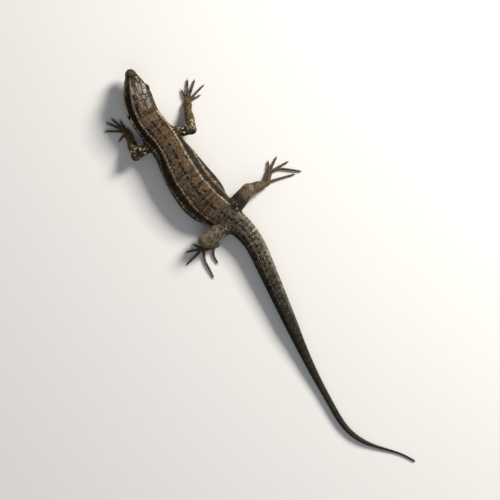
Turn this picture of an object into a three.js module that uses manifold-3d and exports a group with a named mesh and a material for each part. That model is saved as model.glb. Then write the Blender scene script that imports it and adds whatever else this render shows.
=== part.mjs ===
// Wall lizard, life size, as a still display model.
//
// It lies on a flat floor at z = 0, where belly, tail, palms and soles have small flats.
// +X runs from the tail tip towards the snout, +Y is the animal's left, +Z is up. The origin is
// at the middle of the box, on the floor. All sizes are in millimetres.
//
// The body is one long tube round a spine that bends only sideways. A place on it is given by
// its distance d along the spine from the snout, and each section is an upper and a lower half
// of a superellipse that meet at the body's widest level. The head's sides lean in towards its
// flat top, and the head rolls about its own axis.
// Legs are chains of tapered pieces, and each foot is a palm or sole with five clawed digits.

import * as THREE from 'three';
import { mergeVertices } from 'three/addons/utils/BufferGeometryUtils.js';
import Module from 'manifold-3d';

const wasm = await Module();
wasm.setup();

// ---------------------------------------------------------------- driving dimensions

const GAP = 0.3; // clear space between neighbouring pieces
const SPINE_LENGTH = 156.7; // snout to tail tip, along the spine
const SPINE_STEP = 0.25; // step of the sum that turns headings into places
const SNOUT_PLACE = [75.45, 0.05]; // the snout, before the model is centred
const SNOUT_HEADING = 19.5; // degrees to the left of straight back, walking tailwards

// The spine's turns, in degrees to the animal's left, walking from the snout to the tail tip.
const TURNS = [
  { from: 10, to: 18.5, by: -20.5 }, // neck
  { from: 25, to: 33, by: 6 }, // shoulders
  { from: 34, to: 44, by: -7 }, // back
  { from: 44, to: 53, by: -18 }, // loins
  { from: 55, to: 73.6, by: 32.2 }, // tail root
  { from: 98, to: 122, by: -5 }, // tail
  { from: 125, to: 146, by: -45 }, // tail end
  { from: 148, to: 156, by: 14 }, // tail tip
];

const HEAD_ROLL = 22; // degrees, which turn the left cheek up
const ROLL_LEVEL = 4.8; // height of the line that the head rolls about
const ROLL_END = { from: 15, to: 30 }; // the neck takes the roll out between these places
const SNOUT_ROUNDING = 1.3; // length of the snout's rounded end
const TAIL_ROUNDING = 0.5; // length of the tail's rounded end
const SNOUT_RING = 0.11; // distance from the snout to the first ring
const TAIL_RING = 0.06; // distance from the last ring to the tail tip
const ROUND_END_EASING = 1.5; // above 1, rings stand closer together towards a round end

// Profiles along the body, as [distance from the snout, value].
const HALF_WIDTH = track([
  [0, 1.4], [2.2, 1.95], [3.7, 2.75], [5.3, 3.6], [6.8, 4.25], [8.4, 4.75], [10, 5],
  [12.5, 5.1], [15, 4.95], [18, 4.85], [24, 5.05], [28, 5.3], [33, 6.2], [39, 6.95],
  [44.5, 7.3], [48.5, 6.9], [52, 5.65], [55, 4.75], [58, 4], [62, 3.45], [67, 3.1],
  [76, 2.8], [86, 2.4], [95, 2.05], [101.5, 1.65], [110, 1.28], [120, 0.98], [129, 0.9],
  [137, 0.74], [144, 0.46], [151, 0.31], [156.7, 0.28],
]);
const TOP = track([
  [0, 5.35], [1, 5.95], [2.2, 6.55], [3.7, 7.15], [5.3, 7.63], [7, 7.98], [9, 8.15], [12, 8.2],
  [15, 8.05], [18, 7.85], [22, 7.75], [28, 7.9], [36, 7.8], [44, 7.5], [50, 7], [55, 6.3],
  [60, 5.7], [66, 5.25], [76, 4.8], [86, 4.3], [95, 3.85], [101.5, 3.15], [110, 2.45],
  [120, 1.88], [129, 1.72], [137, 1.42], [144, 0.88], [151, 0.58], [156.7, 0.52],
]);
const BOTTOM = track([
  [0, 3.6], [1, 3.25], [2.2, 2.9], [3.7, 2.6], [5.3, 2.35], [8, 1.95], [11, 1.5],
  [14, 1.25], [17, 1.2], [20, 0.95], [24, 0.4], [28, -0.12], [34, -0.25], [46, -0.25],
  [52, -0.18], [60, -0.16], [76, -0.2], [95, -0.18], [110, -0.12], [130, -0.08], [156.7, -0.04],
]);
const WIDEST = track([
  [0, 4.5], [7, 4.75], [12, 4.6], [18, 4.2], [26, 3.5], [34, 3.1], [48, 3], [56, 2.9],
  [62, 2.75], [76, 2.38], [95, 1.9], [110, 1.2], [129, 0.83], [144, 0.42], [156.7, 0.24],
]);
const UPPER_POWER = track([
  [0, 2.3], [4, 3.4], [7, 4.4], [11, 4.4], [14, 3.4], [18, 2.5], [24, 2.2], [50, 2.1], [62, 2],
]);
const LOWER_POWER = track([[0, 2.1], [14, 2.3], [24, 2.3], [34, 2.7], [50, 2.6], [62, 2]]);
// How far the head's sides lean in: the share of its width that is lost at the top.
const LEAN = track([[0, 0], [3, 0.14], [6, 0.26], [10, 0.3], [14, 0.22], [19, 0.08], [25, 0]]);

// The body's lengths, from the snout to the tail tip.
const BODY_PARTS = [
  { name: 'head', from: 0, to: 16.2, rings: 20, sides: 28 },
  { name: 'neck', from: 16.2, to: 25.5, rings: 6, sides: 24 },
  { name: 'trunk', from: 25.5, to: 50.5, rings: 13, sides: 28 },
  { name: 'hips', from: 50.5, to: 60.5, rings: 7, sides: 24 },
  { name: 'tail_root', from: 60.5, to: 80, rings: 8, sides: 18 },
  { name: 'tail_fore', from: 80, to: 104, rings: 8, sides: 16 },
  { name: 'tail_middle', from: 104, to: 127, rings: 7, sides: 14 },
  { name: 'tail_end', from: 127, to: 143, rings: 8, sides: 12 },
  { name: 'tail_tip', from: 143, to: SPINE_LENGTH, rings: 7, sides: 10 },
];
// The length that the legs are kept clear of.
const CLEARANCE = { from: 16.2, to: 80, rings: 40, sides: 28 };

const EYE = { at: 7.3, out: 2.78, height: 5.95, radius: 1.2, sides: 14, rings: 8 };
// The mouth's slit in the head's side view: level from the snout, then down behind the jaw.
// The cutter that makes it reaches past the snout by overshoot, and across the head by reach.
const MOUTH = { level: 4.05, corner: [12.6, 3.75], throat: [15.4, -2], overshoot: 3, reach: 14 };

// Legs. Each joint is [x, y, z], and each piece tapers from its first radius through its
// middle one to its last. A digit starts at the palm, passes its bends and ends at its claw.
const ARM = { upper: [1.65, 1.7, 1.4], lower: [1.4, 1.5, 1.0], palm: [1.15, 1.4, 1.15] };
const LEG = { upper: [2.3, 2.5, 2.1], lower: [1.75, 1.7, 0.85], palm: [0.9, 1.0, 1.0] };
const PALM_FLATNESS = 0.62; // a palm's thickness over its width
const LIMBS = [
  {
    side: 'right', names: ['upper_arm', 'forearm', 'hand'], build: ARM,
    root: [52.2, 1.5, 3.5], bend: [48.9, -4.5, 4.2], low: [55.1, -7.4, 1.4],
    palm: [56.9, -8.6, 0.5],
    digits: [
      { tip: [61.6, -9.4] }, { tip: [63.0, -13.0] }, { tip: [61.4, -14.8] },
      { tip: [58.3, -16.3] }, { tip: [56.2, -13.5] },
    ],
  },
  {
    side: 'left', names: ['upper_arm', 'forearm', 'hand'], build: ARM,
    root: [52.6, 7.4, 3.5], bend: [52.5, 14.3, 4.2], low: [58.4, 12.6, 1.4],
    palm: [60.6, 12.2, 0.5],
    digits: [
      { tip: [65.0, 11.8] }, { tip: [67.1, 13.8] }, { tip: [67.0, 15.9] },
      { tip: [65.0, 17.9] }, { tip: [59.4, 16.5] },
    ],
  },
  {
    side: 'right', names: ['thigh', 'shin', 'foot'], build: LEG,
    root: [21.1, 1.5, 2.9], bend: [23.5, -7.5, 4.1], low: [21.8, -13.4, 1.3],
    palm: [24.2, -16.2, 0.52],
    digits: [
      { tip: [27.6, -18.2] }, { tip: [26.9, -21.3] }, { tip: [23.3, -23.4] },
      { bends: [[23.2, -19.3], [20.8, -22.1]], tip: [18.2, -24.7] },
      { start: [21.9, -14.1], bends: [[21, -16.8]], tip: [18.8, -22.7] },
    ],
  },
  {
    side: 'left', names: ['thigh', 'shin', 'foot'], build: LEG,
    root: [18.3, 2.9, 2.9], bend: [18.7, 12.5, 4.6], low: [15.6, 10.4, 1.3],
    palm: [17.1, 14.6, 0.52],
    digits: [
      { tip: [20.6, 16.6] }, { tip: [19.6, 19.9] }, { tip: [16, 22] },
      { bends: [[13.6, 16.3], [10.8, 16.7]], tip: [7.4, 17.3] },
      { start: [15.6, 11.8], bends: [[13.4, 13.1]], tip: [10.2, 13.6] },
    ],
  },
];
const LIMB_SIDES = 12;
const LIMB_STATIONS = [0, 0.25, 0.5, 0.75, 1]; // rings, as shares of a limb piece's length
const LIMB_CAP_ANGLES = [30, 60]; // rings on its round ends, in degrees from its pole
const JOINT_CUTTER = 60; // side of the box that cuts a limb piece off at its joint
const DIGIT = {
  sides: 8, rings: 4, base: 0.42, end: 0.32, // radii
  start: 0.55, knuckle: 0.72, tip: 0.28, // heights of its middle line
  knuckleAt: 0.4, // share of the way to its first bend
  claw: 0.26, clawLength: 1, clawArch: 0.16, clawRings: [0.3, 0.9],
};

const COLOURS = {
  skin: 0x6e5f54, head: 0x5a4c3c, belly: 0x8c8672, tail: 0x58503f, limb: 0x65584a, eye: 0x1a120c,
};
const SKIN_ROUGHNESS = 0.65;
const EYE_ROUGHNESS = 0.12;
const WELD = 1e-5; // corners closer together than this are one

// ---------------------------------------------------------------- curves and places

// A smooth curve through [place, value] stations that doesn't overshoot them.
function track(stations) {
  const last = stations.length - 1;
  const rise = (i) => (stations[i + 1][1] - stations[i][1]) / (stations[i + 1][0] - stations[i][0]);
  const slopes = stations.map((station, i) => {
    if (i === 0 || i === last) return rise(Math.min(i, last - 1));
    const before = rise(i - 1);
    const after = rise(i);
    return before * after <= 0 ? 0 : (2 * before * after) / (before + after);
  });
  return (place) => {
    let i = 0;
    while (i < last - 1 && place > stations[i + 1][0]) i += 1;
    const [x0, y0] = stations[i];
    const [x1, y1] = stations[i + 1];
    const span = x1 - x0;
    const t = THREE.MathUtils.clamp((place - x0) / span, 0, 1);
    const hermite = (2 * t - 3) * t * t;
    return (
      y0 * (1 + hermite) - y1 * hermite
      + span * t * (1 - t) * (slopes[i] * (1 - t) - slopes[i + 1] * t)
    );
  };
}

// How far a turn that runs between two places has gone, from 0 to 1.
function progress(place, { from, to }) {
  return THREE.MathUtils.smoothstep(place, from, to);
}

// Direction of the spine at d, as an angle to the left of straight back.
function heading(d) {
  const turned = TURNS.reduce((sum, turn) => sum + turn.by * progress(d, turn), SNOUT_HEADING);
  return THREE.MathUtils.degToRad(turned);
}

const SPINE = [new THREE.Vector2(...SNOUT_PLACE)];
for (let d = 0; d < SPINE_LENGTH; d += SPINE_STEP) {
  const angle = heading(d + SPINE_STEP / 2);
  const step = new THREE.Vector2(-Math.cos(angle), Math.sin(angle)).multiplyScalar(SPINE_STEP);
  SPINE.push(SPINE[SPINE.length - 1].clone().add(step));
}

// The spine's place, its side vector (to the animal's left) and its roll at d.
function frameAt(d) {
  const steps = Math.max(0, d / SPINE_STEP);
  const i = Math.min(Math.floor(steps), SPINE.length - 2);
  const place = SPINE[i].clone().lerp(SPINE[i + 1], steps - i);
  const angle = heading(d);
  const left = new THREE.Vector3(Math.sin(angle), Math.cos(angle), 0);
  const ahead = new THREE.Vector3(Math.cos(angle), -Math.sin(angle), 0);
  const roll = THREE.MathUtils.degToRad(HEAD_ROLL) * (1 - progress(d, ROLL_END));
  return { place, left, ahead, roll };
}

// A point given by d, its distance to the left and its height, as it lies once rolled.
function bodyPlace(d, out, height) {
  const { place, left, roll } = frameAt(d);
  const above = height - ROLL_LEVEL;
  const across = out * Math.cos(roll) - above * Math.sin(roll);
  const level = ROLL_LEVEL + above * Math.cos(roll) + out * Math.sin(roll);
  return new THREE.Vector3(place.x, place.y, level).addScaledVector(left, across);
}

// How much of its full section the body has near its two round ends.
function fullness(d) {
  const nose = Math.min(1, d / SNOUT_ROUNDING);
  const tip = Math.min(1, (SPINE_LENGTH - d) / TAIL_ROUNDING);
  return Math.sqrt(1 - (1 - nose) ** 2) * Math.sqrt(1 - (1 - tip) ** 2);
}

function onFloor(point) {
  return point.setZ(Math.max(point.z, 0));
}

// One ring of the body's surface at d, moved out by grow.
function bodyRing(d, sides, grow) {
  const full = fullness(d);
  const middle = WIDEST(d);
  const width = HALF_WIDTH(d) * full + grow;
  const up = (TOP(d) - middle) * full + grow;
  const down = (middle - BOTTOM(d)) * full + grow;
  return Array.from({ length: sides }, (unused, i) => {
    const angle = (2 * Math.PI * i) / sides;
    const c = Math.cos(angle);
    const s = Math.sin(angle);
    const power = 2 / (s > 0 ? UPPER_POWER(d) : LOWER_POWER(d));
    const share = Math.sign(s) * Math.abs(s) ** power;
    const lean = 1 - LEAN(d) * Math.max(share, 0);
    const out = width * lean * Math.sign(c) * Math.abs(c) ** power;
    return onFloor(bodyPlace(d, out, middle + (s > 0 ? up : down) * share));
  });
}

// ---------------------------------------------------------------- solids

// A closed solid through rings of equal length, with its ends closed to the two end points.
function ringSolid(rings, first, last) {
  const sides = rings[0].length;
  const positions = [...rings.flat(), first, last].flatMap((p) => [p.x, p.y, p.z]);
  const firstIndex = rings.length * sides;
  const faces = [];
  for (let r = 0; r < rings.length; r += 1) {
    for (let i = 0; i < sides; i += 1) {
      const a = r * sides + i;
      const b = r * sides + ((i + 1) % sides);
      if (r === 0) faces.push(firstIndex, b, a);
      if (r === rings.length - 1) faces.push(firstIndex + 1, a, b);
      else faces.push(a, b, b + sides, a, b + sides, a + sides);
    }
  }
  const geometry = new THREE.BufferGeometry();
  geometry.setAttribute('position', new THREE.Float32BufferAttribute(positions, 3));
  geometry.setIndex(faces);
  return toSolid(geometry);
}

function toSolid(geometry) {
  const bare = geometry.clone();
  bare.deleteAttribute('normal');
  bare.deleteAttribute('uv');
  const merged = mergeVertices(bare, WELD);
  const mesh = new wasm.Mesh({
    numProp: 3,
    vertProperties: new Float32Array(merged.attributes.position.array),
    triVerts: new Uint32Array(merged.index.array),
  });
  const solid = new wasm.Manifold(mesh);
  return solid.volume() < 0 ? new wasm.Manifold(flipped(mesh)) : solid;
}

function flipped(mesh) {
  const triVerts = mesh.triVerts.slice();
  for (let i = 0; i < triVerts.length; i += 3) {
    triVerts[i] = mesh.triVerts[i + 1];
    triVerts[i + 1] = mesh.triVerts[i];
  }
  return new wasm.Mesh({ numProp: 3, vertProperties: mesh.vertProperties, triVerts });
}

function toGeometry(solid) {
  const mesh = solid.getMesh();
  const geometry = new THREE.BufferGeometry();
  geometry.setAttribute('position', new THREE.Float32BufferAttribute(mesh.vertProperties, 3));
  geometry.setIndex(new THREE.Uint32BufferAttribute(mesh.triVerts, 1));
  return geometry;
}

// The body between two places, moved out by grow.
function bodyLength(from, to, ringCount, sides, grow = 0) {
  const isSnout = from === 0;
  const isTip = to === SPINE_LENGTH;
  const start = isSnout ? SNOUT_RING : from;
  const end = isTip ? to - TAIL_RING : to;
  const rings = Array.from({ length: ringCount }, (unused, i) => {
    const share = i / (ringCount - 1);
    const fromSnout = share ** (isSnout ? ROUND_END_EASING : 1);
    const eased = 1 - (1 - fromSnout) ** (isTip ? ROUND_END_EASING : 1);
    return bodyRing(THREE.MathUtils.lerp(start, end, eased), sides, grow);
  });
  return ringSolid(
    rings,
    onFloor(bodyPlace(from, 0, WIDEST(from))),
    onFloor(bodyPlace(to, 0, WIDEST(to))),
  );
}

// A ring across a limb or digit: aim is the direction along it, width and height its radii.
function limbRing(centre, aim, width, height, sides) {
  const up = new THREE.Vector3(0, 0, 1);
  const across = new THREE.Vector3().crossVectors(up, aim).normalize();
  const over = new THREE.Vector3().crossVectors(aim, across).normalize();
  return Array.from({ length: sides }, (unused, i) => {
    const angle = (2 * Math.PI * (i + 0.5)) / sides;
    return onFloor(
      centre.clone()
        .addScaledVector(across, width * Math.cos(angle))
        .addScaledVector(over, height * Math.sin(angle)),
    );
  });
}

// A tapered limb piece with round ends, swelling from radii[0] through radii[1] to radii[2].
function limbPiece(from, to, radii, flatness = 1) {
  const start = new THREE.Vector3(...from);
  const end = new THREE.Vector3(...to);
  const length = start.distanceTo(end);
  const aim = end.clone().sub(start).normalize();
  const swell = track([[0, radii[0]], [length / 2, radii[1]], [length, radii[2]]]);
  const stations = [
    ...LIMB_CAP_ANGLES.map((a) => [-radii[0] * cosine(a), radii[0] * sine(a)]),
    ...LIMB_STATIONS.map((t) => [t * length, swell(t * length)]),
    ...LIMB_CAP_ANGLES.toReversed().map((a) => [length + radii[2] * cosine(a), radii[2] * sine(a)]),
  ];
  const rings = stations.map(([along, radius]) => {
    const centre = start.clone().addScaledVector(aim, along);
    return limbRing(centre, aim, radius, radius * flatness, LIMB_SIDES);
  });
  return ringSolid(
    rings,
    onFloor(start.clone().addScaledVector(aim, -radii[0])),
    onFloor(end.clone().addScaledVector(aim, radii[2])),
  );
}

function sine(degrees) {
  return Math.sin(THREE.MathUtils.degToRad(degrees));
}

function cosine(degrees) {
  return Math.cos(THREE.MathUtils.degToRad(degrees));
}

// Keeps what lies ahead of the plane through a point, less half the gap.
function keepAhead(solid, point, direction) {
  const box = new THREE.BoxGeometry(JOINT_CUTTER, JOINT_CUTTER, JOINT_CUTTER);
  box.translate(0, 0, (JOINT_CUTTER + GAP) / 2);
  const turn = new THREE.Quaternion().setFromUnitVectors(new THREE.Vector3(0, 0, 1), direction);
  box.applyQuaternion(turn);
  box.translate(...point);
  return solid.intersect(toSolid(box));
}

// The direction in which the limb passes a joint: the normal of the plane that parts it there.
function passing(before, joint, after) {
  const here = new THREE.Vector3(...joint);
  const arriving = here.clone().sub(new THREE.Vector3(...before)).normalize();
  const leaving = new THREE.Vector3(...after).sub(here).normalize();
  return arriving.add(leaving).normalize();
}

// A digit with its claw: a tapered tube from the palm over its knuckle and bends to its tip.
function digit(palm, { start = palm, bends = [], tip }) {
  const base = new THREE.Vector3(start[0], start[1], DIGIT.start);
  const end = new THREE.Vector3(tip[0], tip[1], DIGIT.tip);
  const between = bends.map(([x, y]) => new THREE.Vector3(x, y, DIGIT.tip + DIGIT.base / 2));
  const knuckle = base.clone().lerp(between[0] ?? end, DIGIT.knuckleAt).setZ(DIGIT.knuckle);
  const path = new THREE.CatmullRomCurve3([base, knuckle, ...between, end], false, 'centripetal');
  const clawShare = DIGIT.clawLength / path.getLength();
  const rings = [];
  for (let i = 0; i < DIGIT.rings; i += 1) {
    const t = i / (DIGIT.rings - 1);
    const along = t * (1 - clawShare);
    const radius = THREE.MathUtils.lerp(DIGIT.base, DIGIT.end, t);
    rings.push(limbRing(path.getPointAt(along), path.getTangentAt(along), radius, radius, DIGIT.sides));
  }
  const aim = path.getTangentAt(1).setZ(0).normalize();
  for (const share of DIGIT.clawRings) {
    const centre = end.clone().addScaledVector(aim, (share - 1) * DIGIT.clawLength);
    centre.z += DIGIT.clawArch * Math.sin(Math.PI * share);
    rings.push(limbRing(centre, aim, DIGIT.claw, DIGIT.claw, DIGIT.sides));
  }
  return ringSolid(rings, base, end);
}

// ---------------------------------------------------------------- head

function eyePlace(side) {
  return bodyPlace(EYE.at, side * EYE.out, EYE.height);
}

function ball(centre, radius) {
  const geometry = new THREE.SphereGeometry(radius, EYE.sides, EYE.rings);
  return toSolid(geometry.rotateX(Math.PI / 2).translate(centre.x, centre.y, centre.z));
}

// The space below and behind the mouth's slit, lowered by drop, as a prism across the head.
function jawSpace(drop) {
  const [cornerD, cornerZ] = MOUTH.corner;
  const [throatD, throatZ] = MOUTH.throat;
  const outline = new THREE.Shape([
    new THREE.Vector2(MOUTH.overshoot, MOUTH.level - drop),
    new THREE.Vector2(-cornerD + drop, cornerZ - drop),
    new THREE.Vector2(-throatD + drop, throatZ),
    new THREE.Vector2(MOUTH.overshoot, throatZ),
  ]);
  const prism = new THREE.ExtrudeGeometry(outline, { depth: MOUTH.reach, bevelEnabled: false });
  const { place, left, ahead, roll } = frameAt(0);
  const upright = new THREE.Vector3(0, 0, 1).applyAxisAngle(ahead, roll);
  const side = left.clone().applyAxisAngle(ahead, roll);
  prism.translate(0, -ROLL_LEVEL, -MOUTH.reach / 2);
  const turn = new THREE.Matrix4().makeBasis(ahead, upright, side.negate());
  prism.applyMatrix4(turn);
  prism.translate(place.x, place.y, ROLL_LEVEL);
  return toSolid(prism);
}

// ---------------------------------------------------------------- the model

const model = new THREE.Group();

function addNode(name, geometry, colour, roughness = SKIN_ROUGHNESS) {
  const material = new THREE.MeshStandardMaterial({ color: colour, roughness, metalness: 0 });
  const mesh = new THREE.Mesh(geometry, material);
  mesh.name = name;
  model.add(mesh);
}

for (const { name, from, to, rings, sides } of BODY_PARTS) {
  const start = from === 0 ? 0 : from + GAP / 2;
  const end = to === SPINE_LENGTH ? to : to - GAP / 2;
  const solid = bodyLength(start, end, rings, sides);
  if (name !== 'head') {
    addNode(name, toGeometry(solid), name.startsWith('tail') ? COLOURS.tail : COLOURS.skin);
    continue;
  }
  const sockets = [1, -1].map((side) => ball(eyePlace(side), EYE.radius + GAP));
  const pierced = sockets.reduce((head, socket) => head.subtract(socket), solid);
  addNode('head', toGeometry(pierced.subtract(jawSpace(0))), COLOURS.head);
  addNode('lower_jaw', toGeometry(pierced.intersect(jawSpace(GAP))), COLOURS.belly);
}

addNode('eye_left', toGeometry(ball(eyePlace(1), EYE.radius)), COLOURS.eye, EYE_ROUGHNESS);
addNode('eye_right', toGeometry(ball(eyePlace(-1), EYE.radius)), COLOURS.eye, EYE_ROUGHNESS);

const clearance = bodyLength(
  CLEARANCE.from, CLEARANCE.to, CLEARANCE.rings, CLEARANCE.sides, GAP,
);
for (const { side, names, build, root, bend, low, palm, digits } of LIMBS) {
  const bendAim = passing(root, bend, low);
  const lowAim = passing(bend, low, palm);
  const upper = keepAhead(limbPiece(root, bend, build.upper), bend, bendAim.clone().negate());
  const wholeLower = keepAhead(limbPiece(bend, low, build.lower), bend, bendAim);
  const lower = keepAhead(wholeLower, low, lowAim.clone().negate());
  const sole = keepAhead(limbPiece(low, palm, build.palm, PALM_FLATNESS), low, lowAim);
  const foot = digits.reduce((joined, plan) => joined.add(digit(palm, plan)), sole);
  [upper, lower, foot].forEach((solid, i) => {
    addNode(`${names[i]}_${side}`, toGeometry(solid.subtract(clearance)), COLOURS.limb);
  });
}

const box = new THREE.Box3().setFromObject(model);
model.position.set(-(box.min.x + box.max.x) / 2, -(box.min.y + box.max.y) / 2, -box.min.z);

export default model;
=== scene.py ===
"""Looks of the wall lizard, a still, life-size display model.

One skin replaces the solids of the flesh. It is the zero level of a field of distances, made
from the same spine, profiles and limbs as the solids, and every scale is a small closed mesh
that is settled on it. Shapes are worked out in millimetres and become meshes in metres.

A place on the body is (d, out, height): the distance along the spine from the snout, the
distance to the animal's left of its middle plane, and the height, all before the head's roll.
"""

import logging
import math
from dataclasses import dataclass
from enum import Enum

import bpy
import numpy as np
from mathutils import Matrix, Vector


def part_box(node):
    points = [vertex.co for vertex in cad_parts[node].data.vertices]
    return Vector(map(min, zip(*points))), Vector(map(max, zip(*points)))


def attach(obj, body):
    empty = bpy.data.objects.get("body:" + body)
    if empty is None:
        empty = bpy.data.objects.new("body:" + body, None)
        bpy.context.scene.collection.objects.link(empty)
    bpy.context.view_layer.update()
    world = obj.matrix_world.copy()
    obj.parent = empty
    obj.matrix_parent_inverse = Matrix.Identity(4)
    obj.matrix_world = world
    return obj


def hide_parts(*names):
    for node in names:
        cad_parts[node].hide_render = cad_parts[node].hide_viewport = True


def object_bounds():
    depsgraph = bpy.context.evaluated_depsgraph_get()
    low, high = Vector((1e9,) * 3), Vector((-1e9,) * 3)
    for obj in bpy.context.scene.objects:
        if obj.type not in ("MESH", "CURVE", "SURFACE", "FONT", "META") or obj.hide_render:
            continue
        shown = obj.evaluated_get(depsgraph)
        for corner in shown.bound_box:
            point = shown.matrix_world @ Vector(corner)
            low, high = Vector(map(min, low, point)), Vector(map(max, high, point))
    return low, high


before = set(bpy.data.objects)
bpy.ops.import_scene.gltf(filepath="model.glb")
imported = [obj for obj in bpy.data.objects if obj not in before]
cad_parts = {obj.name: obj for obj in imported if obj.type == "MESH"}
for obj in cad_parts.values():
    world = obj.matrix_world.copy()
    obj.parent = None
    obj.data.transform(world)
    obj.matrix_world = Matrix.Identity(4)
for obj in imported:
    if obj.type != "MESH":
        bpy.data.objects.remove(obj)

import openvdb
from mathutils import Vector
from mathutils.bvhtree import BVHTree

CAD_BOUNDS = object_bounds()
MM = 0.001
FLOOR_CLEAR = 0.01
BODY = "root"
BAKE_MAP = "OFBake"
COLOUR_LAYER = "coat_colour"
UP = np.array([0.0, 0.0, 1.0])

Array = np.ndarray
Random = np.random.Generator
log = logging.getLogger("wall_lizard")


# ---------------- curves and numbers


class Track:
    """A smooth curve through (place, value) stations that does not overshoot them."""

    def __init__(self, *stations: tuple[float, float]) -> None:
        """Keeps the stations and works out a slope at each.

        Args:
            stations: (place, value) pairs in rising order of place.
        """
        table = np.array(stations, float)
        self.places = table[:, 0]
        self.values = table[:, 1]
        rises = np.diff(self.values) / np.diff(self.places)
        before, after = rises[:-1], rises[1:]
        total = np.where(before * after > 0, before + after, 1.0)
        inner = np.where(before * after > 0, 2 * before * after / total, 0.0)
        self.slopes = np.concatenate([rises[:1], inner, rises[-1:]])

    def __call__(self, place: Array | float) -> Array:
        """Gives the curve's value at each place.

        Args:
            place: one place or an array of them.

        Returns:
            The values, in the same shape.
        """
        place = np.asarray(place, float)
        last = len(self.places) - 2
        i = np.clip(np.searchsorted(self.places, place, side="left") - 1, 0, last)
        span = self.places[i + 1] - self.places[i]
        t = np.clip((place - self.places[i]) / span, 0, 1)
        ease = (3 - 2 * t) * t * t
        bend = self.slopes[i] * (1 - t) - self.slopes[i + 1] * t
        return self.values[i] * (1 - ease) + self.values[i + 1] * ease + span * t * (1 - t) * bend


def smooth_share(value: Array | float, start: float, end: float) -> Array:
    """Gives how far a value has gone from start to end, eased, from 0 to 1."""
    t = np.clip((np.asarray(value, float) - start) / (end - start), 0, 1)
    return t * t * (3 - 2 * t)


def bump_share(value: Array | float, middle: Array | float, reach: Array | float) -> Array:
    """Gives 1 at the middle, falling smoothly to 0 at reach on both sides."""
    t = np.clip(1 - np.abs(value - middle) / reach, 0, 1)
    return t * t * (3 - 2 * t)


def melt(a: Array, b: Array, reach: float) -> Array:
    """Joins two fields of distances with a rounded inside corner."""
    share = np.maximum(reach - np.abs(a - b), 0) / reach
    return np.minimum(a, b) - share * share * reach / 4


def carve(a: Array, hole: Array, reach: float) -> Array:
    """Takes a hole out of a field, with a rounded rim."""
    return -melt(-a, hole, reach)


def row_places(first: float, last: float, pitch: Track) -> Array:
    """Gives the places of rows at about the stated pitch, the next of which would lie at last.

    Args:
        first: where the first row lies.
        last: where a row after the last would lie.
        pitch: the step between rows, by place.

    Returns:
        The places in order.
    """
    steps = np.linspace(first, last, 400)
    walked = walked_along(np.diff(steps) / pitch((steps[1:] + steps[:-1]) / 2))
    count = max(1, round(walked[-1]))
    return np.interp(np.arange(count) * walked[-1] / count, walked, steps)


def walked_along(lengths: Array) -> Array:
    """Gives the distances walked at both ends of every step."""
    return np.concatenate([[0], np.cumsum(lengths)])


def between(places: Array, walked: Array, line: Array) -> Array:
    """Gives places along a line of points by their distances walked."""
    return np.stack([np.interp(places, walked, column) for column in line.T], -1)


def unit(vectors: Array) -> Array:
    """Scales vectors in the last axis to length 1."""
    return vectors / np.maximum(np.linalg.norm(vectors, axis=-1, keepdims=True), 1e-9)


def ring_quads(rings: int, count: int, is_loop: bool = False) -> Array:
    """Gives the four-cornered faces between rings of corners, numbered ring after ring.

    Args:
        rings: how many rings.
        count: corners in a ring.
        is_loop: whether the last ring joins the first.

    Returns:
        The faces, as (n, 4).
    """
    here = np.arange(count)
    beside = (here + 1) % count
    wall = np.stack([here, beside, beside + count, here + count], 1)
    steps = range(rings if is_loop else rings - 1)
    return np.vstack([wall + ring * count for ring in steps]) % (rings * count)


def closed_faces(rings: int, count: int) -> tuple[Array, Array]:
    """Gives the faces of rings of corners that are closed by a tip at each end.

    Args:
        rings: how many rings.
        count: corners in a ring. After them come the last ring's tip and the first ring's.

    Returns:
        The four-cornered and the three-cornered faces.
    """
    here = np.arange(count)
    beside = (here + 1) % count
    last = (rings - 1) * count
    tip = np.full(count, rings * count)
    caps = [np.stack([last + here, last + beside, tip], 1), np.stack([beside, here, tip + 1], 1)]
    return ring_quads(rings, count), np.vstack(caps)


# ---------------- the body's form


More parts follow.
